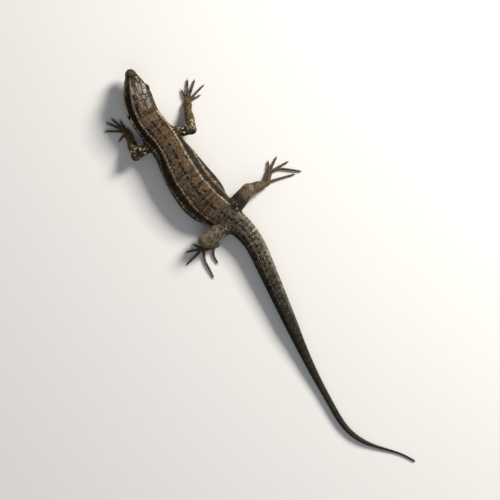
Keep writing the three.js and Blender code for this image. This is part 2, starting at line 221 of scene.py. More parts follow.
class BodyForm:
    """Spine, profiles and roll of the body from snout to tail tip, in millimetres."""

    LENGTH = 156.7
    STEP = 0.25
    SNOUT_PLACE = (75.45, 0.05)
    SNOUT_HEADING = 19.5
    # The spine's turns: where each starts and ends, and its degrees to the animal's left.
    TURNS = (
        (10, 18.5, -20.5), (25, 33, 6), (34, 44, -7), (44, 53, -18),
        (55, 73.6, 32.2), (98, 122, -5), (125, 146, -45), (148, 156, 14),
    )
    HEAD_ROLL = 22
    ROLL_LEVEL = 4.8
    ROLL_END = (15, 30)
    SNOUT_ROUNDING = 1.3
    TAIL_ROUNDING = 0.5
    REST_LEVEL = 0.1

    half_width = Track(
        (0, 1.4), (2.2, 1.95), (3.7, 2.75), (5.3, 3.6), (6.8, 4.25), (8.4, 4.75), (10, 5),
        (12.5, 5.1), (15, 4.95), (18, 4.85), (24, 5.05), (28, 5.3), (33, 6.2), (39, 6.95),
        (44.5, 7.3), (48.5, 6.9), (52, 5.65), (55, 4.75), (58, 4), (62, 3.45), (67, 3.1),
        (76, 2.8), (86, 2.4), (95, 2.05), (101.5, 1.65), (110, 1.28), (120, 0.98), (129, 0.9),
        (137, 0.74), (144, 0.46), (151, 0.31), (156.7, 0.28),
    )
    top = Track(
        (0, 5.35), (1, 5.95), (2.2, 6.55), (3.7, 7.15), (5.3, 7.63), (7, 7.98), (9, 8.15),
        (12, 8.2), (15, 8.05), (18, 7.85), (22, 7.75), (28, 7.9), (36, 7.8), (44, 7.5),
        (50, 7), (55, 6.3), (60, 5.7), (66, 5.25), (76, 4.8), (86, 4.3), (95, 3.85),
        (101.5, 3.15), (110, 2.45), (120, 1.88), (129, 1.72), (137, 1.42), (144, 0.88),
        (151, 0.58), (156.7, 0.52),
    )
    bottom = Track(
        (0, 3.6), (1, 3.25), (2.2, 2.9), (3.7, 2.6), (5.3, 2.35), (8, 1.95), (11, 1.5),
        (14, 1.25), (17, 1.2), (20, 0.95), (24, 0.4), (28, -0.12), (34, -0.25), (46, -0.25),
        (52, -0.18), (60, -0.16), (76, -0.2), (95, -0.18), (110, -0.12), (130, -0.08),
        (156.7, -0.04),
    )
    widest = Track(
        (0, 4.5), (7, 4.75), (12, 4.6), (18, 4.2), (26, 3.5), (34, 3.1), (48, 3), (56, 2.9),
        (62, 2.75), (76, 2.38), (95, 1.9), (110, 1.2), (129, 0.83), (144, 0.42), (156.7, 0.24),
    )
    upper_power = Track(
        (0, 2.3), (4, 3.4), (7, 4.4), (11, 4.4), (14, 3.4), (18, 2.5), (24, 2.2), (50, 2.1), (62, 2)
    )
    lower_power = Track((0, 2.1), (14, 2.3), (24, 2.3), (34, 2.7), (50, 2.6), (62, 2))
    # How far the head's sides lean in: the share of its width that is lost at the top.
    lean = Track((0, 0), (3, 0.14), (6, 0.26), (10, 0.3), (14, 0.22), (19, 0.08), (25, 0))
    # How far the skin lies inside the solids, to leave room for the scales.
    coat_depth = Track((0, 0.08), (14, 0.1), (50, 0.1), (100, 0.09), (130, 0.06), (156.7, 0.03))

    def __init__(self) -> None:
        """Walks the spine from the snout to the tail tip."""
        count = math.ceil(self.LENGTH / self.STEP)
        middles = (np.arange(count) + 0.5) * self.STEP
        angles = self.heading(middles)
        steps = np.stack([-np.cos(angles), np.sin(angles)], 1) * self.STEP
        walked = np.vstack([np.zeros(2), np.cumsum(steps, 0)])
        self.spine = np.array(self.SNOUT_PLACE) + walked
        self.spine_places = np.arange(count + 1) * self.STEP
        self.shift = np.zeros(3)

    def heading(self, d: Array | float) -> Array:
        """Gives the spine's direction at d, in radians to the left of straight back."""
        turned = sum(by * smooth_share(d, start, end) for start, end, by in self.TURNS)
        return np.radians(self.SNOUT_HEADING + turned)

    def roll(self, d: Array | float) -> Array:
        """Gives the body's roll at d, in radians, which turns the left cheek up."""
        return math.radians(self.HEAD_ROLL) * (1 - smooth_share(d, *self.ROLL_END))

    def centre(self, d: Array) -> Array:
        """Gives the spine's plan places at d, as (n, 2)."""
        return between(d, self.spine_places, self.spine) + self.shift[:2]

    def axes(self, d: Array) -> tuple[Array, Array, Array]:
        """Gives the rolled directions at d.

        Args:
            d: distances along the spine.

        Returns:
            The unit vectors towards the tail, the animal's left and its back.
        """
        angle = self.heading(d)
        roll = self.roll(d)
        flat = np.zeros_like(angle)
        tailward = np.stack([-np.cos(angle), np.sin(angle), flat], -1)
        level = np.stack([np.sin(angle), np.cos(angle), flat], -1)
        left = level * np.cos(roll)[..., None] + UP * np.sin(roll)[..., None]
        back = UP * np.cos(roll)[..., None] - level * np.sin(roll)[..., None]
        return tailward, left, back

    def point(self, d: Array, out: Array, height: Array) -> Array:
        """Gives the places in the frame of points stated as (d, out, height).

        Args:
            d: distances along the spine.
            out: distances to the left of the spine, with the roll taken off.
            height: heights above the ground, with the roll taken off.

        Returns:
            The places, as (..., 3).
        """
        d, out, height = np.broadcast_arrays(*(np.asarray(v, float) for v in (d, out, height)))
        _, left, back = self.axes(d)
        start = np.concatenate([self.centre(d), np.full(d.shape + (1,), self.ROLL_LEVEL)], -1)
        return start + left * out[..., None] + back * (height - self.ROLL_LEVEL)[..., None]

    def locate(self, x: Array, y: Array) -> tuple[Array, Array, Array]:
        """Finds the nearest place on the spine in plan.

        Args:
            x: places along the frame's X.
            y: places along the frame's Y.

        Returns:
            The distance along the spine, the distance to the left of it, and how far the
            place lies past the snout or the tail tip.
        """
        spine = (self.spine + self.shift[:2]).astype(np.float32)
        nearest = np.empty(len(x), int)
        for start in range(0, len(x), 20000):
            part = slice(start, start + 20000)
            gap = (x[part, None] - spine[:, 0]) ** 2 + (y[part, None] - spine[:, 1]) ** 2
            nearest[part] = gap.argmin(1)
        d = nearest * self.STEP
        angle = self.heading(d)
        dx = x - spine[nearest, 0]
        dy = y - spine[nearest, 1]
        along = -dx * np.cos(angle) + dy * np.sin(angle)
        across = dx * np.sin(angle) + dy * np.cos(angle)
        d = d + along
        past = np.maximum(-d, 0) + np.maximum(d - self.LENGTH, 0)
        return np.clip(d, 0, self.LENGTH), across, past

    def end_reach(self, d: Array) -> tuple[Array, Array]:
        """Gives how far places lie into a round end, as a share of its length, and that length.

        Args:
            d: distances along the spine.

        Returns:
            The share, 0 where the body isn't rounded, and the length.
        """
        inset = self.coat_depth(d)
        nose = (self.SNOUT_ROUNDING - d) / (self.SNOUT_ROUNDING - inset)
        tip = (d - self.LENGTH + self.TAIL_ROUNDING) / (self.TAIL_ROUNDING - inset)
        rounding = np.where(nose > tip, self.SNOUT_ROUNDING, self.TAIL_ROUNDING) - inset
        return np.maximum(np.maximum(nose, tip), 0), rounding

    def section(self, d: Array, is_upper: Array) -> tuple[Array, Array, Array]:
        """Gives the skin's section at d, before the ends are rounded.

        Args:
            d: distances along the spine.
            is_upper: whether the upper half is meant.

        Returns:
            The curve's power, its reach up or down, and its half width.
        """
        inset = self.coat_depth(d)
        middle = self.widest(d)
        reach = np.where(is_upper, self.top(d) - middle - inset, middle - self.bottom(d) - inset)
        power = np.where(is_upper, self.upper_power(d), self.lower_power(d))
        return power, reach, self.half_width(d) - inset

    def unroll(self, d: Array, across: Array, z: Array) -> tuple[Array, Array]:
        """Turns a place across the spine into (out, height), with the roll taken off.

        Args:
            d: distances along the spine.
            across: distances to the left in plan.
            z: heights in the frame.

        Returns:
            The distances out and the heights.
        """
        roll = self.roll(d)
        above = z - self.ROLL_LEVEL
        out = across * np.cos(roll) + above * np.sin(roll)
        return out, self.ROLL_LEVEL + above * np.cos(roll) - across * np.sin(roll)

    def value(self, d: Array, across: Array, past: Array, z: Array) -> Array:
        """Gives the distance to the body's skin, negative inside.

        Args:
            d: distances along the spine.
            across: distances to the left of the spine in plan.
            past: distances past the spine's ends.
            z: heights.

        Returns:
            The distances, in the shape that the arguments broadcast to.
        """
        out, height = self.unroll(d, across, z)
        rise = height - self.widest(d)
        power, reach, full = self.section(d, rise > 0)
        width = full * (1 - self.lean(d) * np.clip(rise / reach, 0, 1))
        bulk = (np.abs(out) / width) ** power + (np.abs(rise) / reach) ** power
        beyond = np.where(d < self.LENGTH / 2, d - past, d + past)
        into, rounding = self.end_reach(beyond)
        ratio = np.hypot(np.maximum(bulk, 1e-6) ** (1 / power), into)
        far = np.sqrt(out * out + rise * rise + (into * rounding) ** 2)
        return np.where(ratio < 0.05, -np.minimum(reach, full), far * (1 - 1 / ratio))

    def value_at(self, points: Array) -> Array:
        """Gives the distance from places in the frame to the body's skin, negative inside."""
        return self.value(*self.locate(points[:, 0], points[:, 1]), points[:, 2])

    def read(self, points: Array) -> tuple[Array, Array, Array, Array]:
        """Gives the places' distances from the snout, to the left in plan, out and height."""
        d, across, _ = self.locate(points[:, 0], points[:, 1])
        return d, across, *self.unroll(d, across, points[:, 2])

    def ring(self, d: Array, angle: Array) -> tuple[Array, Array]:
        """Gives (out, height) on the skin's section at d, at an angle up from the left side.

        Args:
            d: distances along the spine.
            angle: angles in radians.

        Returns:
            The distances out and the heights.
        """
        c = np.cos(angle)
        s = np.sin(angle)
        power, reach, full = self.section(d, s > 0)
        share = np.sign(s) * np.abs(s) ** (2 / power)
        width = full * (1 - self.lean(d) * np.maximum(share, 0))
        out = width * np.sign(c) * np.abs(c) ** (2 / power)
        end = np.sqrt(np.maximum(1 - self.end_reach(d)[0] ** 2, 0.001))
        return out * end, self.widest(d) + reach * share * end


# ---------------- limbs


def smooth_path(points: list[Array], samples: int) -> Array:
    """Samples a centripetal curve through points at even steps.

    Args:
        points: the points that the curve passes.
        samples: how many places to give.

    Returns:
        The places along the curve, as (samples, 3).
    """
    first = 2 * points[0] - points[1]
    last = 2 * points[-1] - points[-2]
    knots = [first, *points, last]
    dense = []
    for p0, p1, p2, p3 in zip(knots, knots[1:], knots[2:], knots[3:]):
        g0, g1, g2 = (math.sqrt(np.linalg.norm(b - a)) for a, b in ((p0, p1), (p1, p2), (p2, p3)))
        leave = ((p1 - p0) / g0 - (p2 - p0) / (g0 + g1) + (p2 - p1) / g1) * g1
        arrive = ((p2 - p1) / g1 - (p3 - p1) / (g1 + g2) + (p3 - p2) / g2) * g1
        t = np.linspace(0, 1, 24)[:, None]
        ease = (3 - 2 * t) * t * t
        bend = leave * t * (1 - t) ** 2 - arrive * t * t * (1 - t)
        dense.append(p1 * (1 - ease) + p2 * ease + bend)
    line = np.vstack(dense)
    walked = walked_along(np.linalg.norm(np.diff(line, axis=0), axis=1))
    return between(np.linspace(0, walked[-1], samples), walked, line)


@dataclass
class Stem:
    """A tapered round length of limb or digit along a line of points."""

    line: Array
    radii: Array
    flatness: float = 1.0
    is_straight: bool = False
    AIM_STEP = 0.2

    def __post_init__(self) -> None:
        """Works out distances along the line."""
        self.walked = walked_along(np.linalg.norm(np.diff(self.line, axis=0), axis=1))
        self.length = float(self.walked[-1])

    def value(self, points: Array) -> Array:
        """Gives distances to the stem's surface, negative inside.

        Args:
            points: places, with X, Y and Z in the last axis.

        Returns:
            One distance for each place.
        """
        best = np.full(points.shape[:-1], np.inf)
        last = len(self.line) - 1
        joins = [(0, last)] if self.is_straight else [(k, k + 1) for k in range(last)]
        for first, second in joins:
            step = self.line[second] - self.line[first]
            offset = points - self.line[first]
            share = np.clip(offset @ step / (step @ step), 0, 1)
            gap = offset - share[..., None] * step
            gap[..., 2] /= self.flatness
            span = self.walked[second] - self.walked[first]
            radius = np.interp(self.walked[first] + share * span, self.walked, self.radii)
            best = np.minimum(best, np.sqrt((gap * gap).sum(-1)) - radius)
        return best

    def place(self, along: Array) -> tuple[Array, Array, Array, Array, Array]:
        """Gives the stem's middle line, directions and radius at distances along it.

        Args:
            along: distances from the stem's start.

        Returns:
            The centres, the directions along, across and over the stem, and the radii.
        """
        inside = np.clip(along, 0, self.length)
        back, ahead = (
            between(np.clip(inside + step, 0, self.length), self.walked, self.line)
            for step in (-self.AIM_STEP, self.AIM_STEP)
        )
        aim = unit(ahead - back)
        centre = between(inside, self.walked, self.line) + aim * (along - inside)[..., None]
        across = unit(np.cross(UP, aim))
        over = np.cross(aim, across)
        radius = np.interp(inside, self.walked, self.radii)
        past = np.abs(along - inside)
        radius = np.sqrt(np.maximum(radius**2 - past**2, 0.0))
        return centre, aim, across, over, radius


class LimbBuild(Enum):
    """Radii of a limb's upper piece, lower piece and palm, each at start, middle and end."""

    ARM = ((1.65, 1.7, 1.4), (1.4, 1.5, 1.0), (1.15, 1.4, 1.15))
    LEG = ((2.3, 2.5, 2.1), (1.75, 1.7, 0.85), (0.9, 1.0, 1.0))


@dataclass(frozen=True)
class Digit:
    """Plan places of one digit: its tip, and its start and bends where it has them."""

    tip: tuple[float, float]
    bends: tuple[tuple[float, float], ...] = ()
    start: tuple[float, float] | None = None


@dataclass
class Limb:
    """One leg: its joints in millimetres before centring, and the stems made from them."""

    side: str
    names: tuple[str, str, str]
    build: LimbBuild
    root: tuple[float, float, float]
    bend: tuple[float, float, float]
    low: tuple[float, float, float]
    palm: tuple[float, float, float]
    digits: tuple[Digit, ...]
    COAT_DEPTH = 0.07
    DIGIT_COAT = 0.05
    PALM_FLATNESS = 0.62
    SAMPLES = 33
    DIGIT_SAMPLES = 15
    BASE_RADIUS = 0.42
    END_RADIUS = 0.3
    START_HEIGHT = 0.55
    KNUCKLE_HEIGHT = 0.72
    KNUCKLE_AT = 0.4
    TIP_HEIGHT = 0.28
    CLAW_LENGTH = 1.0
    JOINT_SWELL = 0.1
    JOINT_SPACING = 1.55
    ELBOW_MELT = 0.6
    WRIST_MELT = 0.45
    DIGIT_MELT = 0.3

    def make(self, shift: Array) -> None:
        """Makes the stems of the pieces and digits.

        Args:
            shift: what is added to the stated places to centre the model.
        """
        joints = [np.array(p) + shift for p in (self.root, self.bend, self.low, self.palm)]
        self.stems = [
            self.piece(joints[k], joints[k + 1], radii, self.PALM_FLATNESS if k == 2 else 1.0)
            for k, radii in enumerate(self.build.value)
        ]
        self.toes = [self.digit(plan, shift) for plan in self.digits]

    def piece(self, start: Array, end: Array, radii: tuple[float, ...], flatness: float) -> Stem:
        """Makes one straight tapered piece, less the coat's depth.

        Args:
            start: where it starts.
            end: where it ends.
            radii: its radius at the start, in the middle and at the end.
            flatness: its thickness as a share of its width.

        Returns:
            The piece.
        """
        shares = np.linspace(0, 1, self.SAMPLES)
        line = start + shares[:, None] * (end - start)
        length = float(np.linalg.norm(end - start))
        swell = Track((0, radii[0]), (length / 2, radii[1]), (length, radii[2]))
        return Stem(line, swell(shares * length) - self.COAT_DEPTH, flatness, True)

    def digit(self, plan: Digit, shift: Array) -> Stem:
        """Makes the fleshy part of a digit, which swells at its joints and stops at its claw.

        Args:
            plan: the digit's places.
            shift: from those places to the frame.

        Returns:
            The digit, which also keeps its tip.
        """
        start = np.array([*(plan.start or self.palm[:2]), self.START_HEIGHT]) + shift
        tip = np.array([*plan.tip, self.TIP_HEIGHT]) + shift
        level = self.TIP_HEIGHT + self.BASE_RADIUS / 2
        bends = [np.array([*bend, level]) + shift for bend in plan.bends]
        toward = bends[0] if bends else tip
        knuckle = start + self.KNUCKLE_AT * (toward - start)
        knuckle[2] = self.KNUCKLE_HEIGHT
        path = smooth_path([start, knuckle, *bends, tip], 4 * self.DIGIT_SAMPLES)
        walked = np.linspace(0, 1, len(path))
        whole = np.linalg.norm(np.diff(path, axis=0), axis=1).sum()
        shares = np.linspace(0, 1 - 0.85 * self.CLAW_LENGTH / whole, self.DIGIT_SAMPLES)
        line = between(shares, walked, path)
        radii = np.linspace(self.BASE_RADIUS, self.END_RADIUS, self.DIGIT_SAMPLES)
        from_tip = (shares[-1] - shares) * whole
        radii *= 1 + self.JOINT_SWELL * np.cos(2 * np.pi * from_tip / self.JOINT_SPACING)
        stem = Stem(line, radii - self.DIGIT_COAT)
        stem.tip = path[-1]
        return stem

    def value(self, points: Array) -> Array:
        """Gives distances to the whole limb, with its pieces melted together.

        Args:
            points: places, as (n, 3).

        Returns:
            The distances, negative inside.
        """
        upper, lower, palm = self.stems
        joined = melt(upper.value(points), lower.value(points), self.ELBOW_MELT)
        joined = melt(joined, palm.value(points), self.WRIST_MELT)
        for toe in self.toes:
            joined = melt(joined, toe.value(points), self.DIGIT_MELT)
        return joined

    def box(self, margin: float) -> tuple[Array, Array]:
        """Gives the lowest and highest corners of the space that the limb fills.

        Args:
            margin: room to leave round the limb.

        Returns:
            The lowest and the highest corner.
        """
        stems = [*self.stems, *self.toes]
        lows = [(stem.line - stem.radii[:, None]).min(0) for stem in stems]
        highs = [(stem.line + stem.radii[:, None]).max(0) for stem in stems]
        return np.min(lows, 0) - margin, np.max(highs, 0) + margin


ARM_NAMES = ("upper_arm", "forearm", "hand")
LEG_NAMES = ("thigh", "shin", "foot")
LIMBS = (
    Limb(
        "right", ARM_NAMES, LimbBuild.ARM,
        (52.2, 1.5, 3.5), (48.9, -4.5, 4.2), (55.1, -7.4, 1.4), (56.9, -8.6, 0.5),
        (
            Digit((61.6, -9.4)), Digit((63.0, -13.0)), Digit((61.4, -14.8)),
            Digit((58.3, -16.3)), Digit((56.2, -13.5)),
        ),
    ),
    Limb(
        "left", ARM_NAMES, LimbBuild.ARM,
        (52.6, 7.4, 3.5), (52.5, 14.3, 4.2), (58.4, 12.6, 1.4), (60.6, 12.2, 0.5),
        (
            Digit((65.0, 11.8)), Digit((67.1, 13.8)), Digit((67.0, 15.9)),
            Digit((65.0, 17.9)), Digit((59.4, 16.5)),
        ),
    ),
    Limb(
        "right", LEG_NAMES, LimbBuild.LEG,
        (21.1, 1.5, 2.9), (23.5, -7.5, 4.1), (21.8, -13.4, 1.3), (24.2, -16.2, 0.52),
        (
            Digit((27.6, -18.2)), Digit((26.9, -21.3)), Digit((23.3, -23.4)),
            Digit((18.2, -24.7), ((23.2, -19.3), (20.8, -22.1))),
            Digit((18.8, -22.7), ((21, -16.8),), (21.9, -14.1)),
        ),
    ),
    Limb(
        "left", LEG_NAMES, LimbBuild.LEG,
        (18.3, 2.9, 2.9), (18.7, 12.5, 4.6), (15.6, 10.4, 1.3), (17.1, 14.6, 0.52),
        (
            Digit((20.6, 16.6)), Digit((19.6, 19.9)), Digit((16, 22)),
            Digit((7.4, 17.3), ((13.6, 16.3), (10.8, 16.7))),
            Digit((10.2, 13.6), ((13.4, 13.1),), (15.6, 11.8)),
        ),
    ),
)


# ---------------- the head's hollows


@dataclass
class HeadForm:
    """Eyes, lids, nostrils, ears and hollows of the head, cut into the body's field."""

    form: BodyForm
    EYE_AT = 7.3
    EYE_OUT = 2.78
    EYE_HEIGHT = 5.95
    EYE_RADIUS = 1.2
    SOCKET_RADIUS = 1.3
    LID_MIDDLE = 1.33
    LID_HALF = 0.11
    LID_MELT = 0.35
    OPENING_DEPTH = 1.62
    OPENING = (0.86, 0.6)
    OPENING_TILT = 0.1
    NOSTRIL = (1.3, 1.6, 5.3, 0.27)
    EAR = (13.9, 5.0, 4.45)
    EAR_RADII = (0.52, 0.75, 0.82)
    LOREAL = (4.1, 4.05, 5.8)
    LOREAL_RADII = (1.9, 1.3, 0.9)
    TEMPLE = (11.2, 6.0, 6.9)
    TEMPLE_RADII = (3.2, 1.5, 1.3)
    MOUTH_LEVEL = 4.05
    MOUTH_CORNER = (12.6, 3.75)
    MOUTH_HALF = 0.05
    MOUTH_DEPTH = 0.3
    REACH = 16.0

    def eye_centre(self, side: float) -> Array:
        """Gives the middle of the eyeball on the left (1) or right (-1) side."""
        return self.form.point(self.EYE_AT, side * self.EYE_OUT, self.EYE_HEIGHT)

    def eye_axes(self, side: float) -> tuple[Array, Array, Array]:
        """Gives the eye's outward, forward and upward directions."""
        tailward, left, back = self.form.axes(np.array(self.EYE_AT))
        return side * left, -tailward, back

    def rays(self, side: int, turn: Array, ring: float = 1.0) -> Array:
        """Gives unit directions from an eye's middle at turns round its opening, a share out.

        Args:
            side: 1 for the left eye, -1 for the right.
            turn: turns in radians.
            ring: how far out, as a share of the opening.

        Returns:
            The directions, as (n, 3).
        """
        azimuth = self.OPENING[0] * ring * np.cos(turn) - self.OPENING_TILT
        elevation = self.OPENING[1] * ring * np.sin(turn)
        flat = np.cos(elevation)
        shares = [flat * np.cos(azimuth), flat * np.sin(azimuth), np.sin(elevation)]
        return np.stack(shares, 1) @ np.stack(self.eye_axes(side))

    def mouth_level(self, d: Array) -> Array:
        """Gives the height of the mouth's line at d."""
        end, level = self.MOUTH_CORNER
        return self.MOUTH_LEVEL + (level - self.MOUTH_LEVEL) * (d / end)

    def opening(self, points: Array, side: float) -> tuple[Array, Array]:
        """Measures places against one eye.

        Args:
            points: places, as (..., 3).
            side: 1 for the left eye, -1 for the right.

        Returns:
            The distance from the eye's middle, and the distance inside the lids' opening.
        """
        offset = points - self.eye_centre(side)
        outward, ahead, upward = self.eye_axes(side)
        o, f, u = offset @ outward, offset @ ahead, offset @ upward
        azimuth = np.arctan2(f, o) + self.OPENING_TILT
        elevation = np.arctan2(u, np.maximum(np.hypot(o, f), 1e-6))
        ratio = np.hypot(azimuth / self.OPENING[0], elevation / self.OPENING[1])
        far = np.linalg.norm(offset, axis=-1)
        inside = (1 - ratio) * self.OPENING[1] * self.LID_MIDDLE
        return far, np.where(o > 0, inside, -self.LID_MIDDLE)

    def ellipsoid(self, d: Array, out: Array, height: Array, middle: tuple, radii: tuple) -> Array:
        """Gives distances to a pair of mirrored ellipsoids stated in body places.

        Args:
            d: distances along the spine.
            out: distances to the left of the spine, with the roll taken off.
            height: heights above the ground, with the roll taken off.
            middle: the left one's middle, as (d, out, height).
            radii: its half sizes in the same order.

        Returns:
            The distances, negative inside.
        """
        gaps = (d - middle[0], np.abs(out) - middle[1], height - middle[2])
        scaled = np.sqrt(sum((gap / radius) ** 2 for gap, radius in zip(gaps, radii)))
        return (scaled - 1) * min(radii)

    def shape(self, value: Array, points: Array, d: Array, out: Array, height: Array) -> Array:
        """Cuts the head's hollows into a field and adds the lids.

        Args:
            value: the field at the places.
            points: the places, as (..., 3).
            d: their distances along the spine.
            out: their distances from the middle plane.
            height: their heights with the roll taken off.

        Returns:
            The changed field.
        """
        value = carve(value, self.ellipsoid(d, out, height, self.LOREAL, self.LOREAL_RADII), 0.5)
        value = carve(value, self.ellipsoid(d, out, height, self.TEMPLE, self.TEMPLE_RADII), 0.8)
        value = carve(value, self.ellipsoid(d, out, height, self.EAR, self.EAR_RADII), 0.15)
        past_corner = (d / self.MOUTH_CORNER[0] - 1) * 3
        slit = np.maximum(np.abs(height - self.mouth_level(d)) - self.MOUTH_HALF, past_corner)
        value = carve(value, np.maximum(slit, -value - self.MOUTH_DEPTH), 0.12)
        nostril = (self.NOSTRIL[3],) * 3
        value = carve(value, self.ellipsoid(d, out, height, self.NOSTRIL[:3], nostril), 0.12)
        for side in (1, -1):
            far, inside = self.opening(points, side)
            lids = np.abs(far - self.LID_MIDDLE) - self.LID_HALF
            value = melt(value, lids, self.LID_MELT)
            value = carve(value, np.maximum(-inside, far - self.OPENING_DEPTH), 0.08)
            value = np.maximum(value, self.SOCKET_RADIUS - self.LID_HALF - far)
        return value


# ---------------- the field and the skin


class SkinField:
    """Distances to the skin on an even grid, negative inside, in millimetres."""

    PITCH = 0.16
    MARGIN = 1.2
    FAR = 1.5
    ROOT_MELT = 1.1
    LIMB_MARGIN = 1.3
    PRESS_STEPS = 16
    PRESS_CARE = 0.9

    def __init__(self, form: BodyForm, head: HeadForm, limbs: tuple[Limb, ...]) -> None:
        """Fills the grid with the body, its head and its limbs.

        Args:
            form: the body's form.
            head: the head's hollows.
            limbs: the limbs, already made.
        """
        self.form = form
        self.head = head
        self.limbs = limbs
        low, high = (np.array(corner) / MM for corner in CAD_BOUNDS)
        self.low = low - self.MARGIN
        counts = np.ceil((high + self.MARGIN - self.low) / self.PITCH).astype(int) + 1
        self.grid = np.full(counts, self.FAR, np.float32)
        self.places = [self.low[k] + np.arange(counts[k]) * self.PITCH for k in range(3)]
        self.add_body()
        for limb in limbs:
            self.add_limb(limb)
        floor = form.REST_LEVEL - self.places[2]
        self.grid = np.maximum(self.grid, floor.astype(np.float32))

    def add_body(self) -> None:
        """Writes the body into the columns near the spine, then shapes the head."""
        x, y = (v.ravel() for v in np.meshgrid(self.places[0], self.places[1], indexing="ij"))
        d, across, past = self.form.locate(x, y)
        near = (np.abs(across) < self.form.half_width(d) + self.FAR) & (past < self.FAR)
        d, across, past = (v[near][:, None] for v in (d, across, past))
        z = self.places[2][None, :]
        value = self.form.value(d, across, past, z)
        ahead = d[:, 0] < self.head.REACH
        out, height = self.form.unroll(d[ahead], across[ahead], z)
        size = out.shape
        flat = np.stack([x[near][ahead], y[near][ahead]], 1)[:, None, :]
        plan = np.broadcast_to(flat, size + (2,))
        points = np.concatenate([plan, np.broadcast_to(z, size)[..., None]], -1)
        value[ahead] = self.head.shape(value[ahead], points, d[ahead], out, height)
        columns = self.grid.reshape(-1, self.grid.shape[2])
        columns[near] = np.minimum(value, self.FAR)

    def add_limb(self, limb: Limb) -> None:
        """Melts one limb into the part of the grid that it reaches.

        Args:
            limb: the limb.
        """
        low, high = limb.box(self.LIMB_MARGIN)
        first = np.clip(((low - self.low) / self.PITCH).astype(int), 0, None)
        last = np.minimum(((high - self.low) / self.PITCH).astype(int) + 2, self.grid.shape)
        part = tuple(slice(a, b) for a, b in zip(first, last))
        axes = [self.places[k][part[k]] for k in range(3)]
        points = np.stack(np.meshgrid(*axes, indexing="ij"), -1)
        value = np.minimum(limb.value(points), self.FAR)
        self.grid[part] = melt(self.grid[part], value, self.ROOT_MELT)

    def sample(self, points: Array) -> Array:
        """Reads the field between grid places.

        Args:
            points: places, as (n, 3).

        Returns:
            The distances there.
        """
        steps = (points - self.low) / self.PITCH
        cell = np.clip(steps.astype(int), 0, np.array(self.grid.shape) - 2)
        t = np.clip(steps - cell, 0, 1)
        total = np.zeros(len(points))
        for corner in np.ndindex(2, 2, 2):
            index = cell + corner
            weight = np.prod(np.where(corner, t, 1 - t), 1)
            total += weight * self.grid[index[:, 0], index[:, 1], index[:, 2]]
        return total

    def slope(self, points: Array) -> Array:
        """Gives the field's direction of rise, as unit vectors.

        Args:
            points: places, as (n, 3).

        Returns:
            The unit vectors, as (n, 3).
        """
        rise = np.empty_like(points)
        for k in range(3):
            step = np.zeros(3)
            step[k] = self.PITCH
            rise[:, k] = self.sample(points + step) - self.sample(points - step)
        return unit(rise)

    def settle(self, points: Array, rounds: int = 4) -> tuple[Array, Array]:
        """Moves places near the skin onto it, and gives them with the outward directions there.

        Args:
            points: places near the skin, as (n, 3).
            rounds: how often they move.

        Returns:
            The places on the skin and the outward directions there.
        """
        places = points.copy()
        for _ in range(rounds):
            places -= self.slope(places) * self.sample(places)[:, None]
        return places, self.slope(places)

    def press(self, places: Array, way: Array) -> tuple[Array, Array]:
        """Moves places that lie clear of the skin along a direction until they meet it.

        A place whose way misses the skin ends on the skin nearest to its way.

        Args:
            places: places outside the skin, as (n, 3).
            way: the unit directions to travel in.

        Returns:
            The places on the skin and the outward directions there.
        """
        here = places.copy()
        best = here.copy()
        least = np.full(len(here), np.inf)
        for _ in range(self.PRESS_STEPS):
            value = self.sample(here)
            closer = np.abs(value) < least
            best[closer] = here[closer]
            least = np.minimum(least, np.abs(value))
            here = here + way * value[:, None] * self.PRESS_CARE
        return self.settle(best, 2)

    def surface(self) -> tuple[Array, Array]:
        """Gives the skin's corners in millimetres and its four-cornered faces.

        Returns:
            The corners and the faces.
        """
        grid = openvdb.FloatGrid(self.FAR)
        grid.copyFromArray(self.grid)
        points, _, quads = grid.convertToPolygons(isovalue=0.0, adaptivity=0.0)
        return points * self.PITCH + self.low, quads


# ---------------- colours


def speckle(points: Array, size: float, seed: int) -> Array:
    """Gives smooth seeded random values from 0 to 1, in patches of a given size.

    Args:
        points: places in millimetres, as (n, 3).
        size: width of one patch.
        seed: picks the pattern.

    Returns:
        One value for each place.
    """
    cells = points / size
    base = np.floor(cells).astype(np.int64)
    t = cells - base
    t = t * t * (3 - 2 * t)
    total = np.zeros(len(points))
    for corner in np.ndindex(2, 2, 2):
        x, y, z = (base + corner).T
        mixed = (x * 73856093) ^ (y * 19349663) ^ (z * 83492791) ^ (seed * 26544357)
        mixed = ((mixed ^ (mixed >> 13)) * 1274126177) & 0x7FFFFFFF
        value = ((mixed ^ (mixed >> 16)) & 0xFFFF) / 0xFFFF
        total += np.prod(np.where(corner, t, 1 - t), 1) * value
    return total


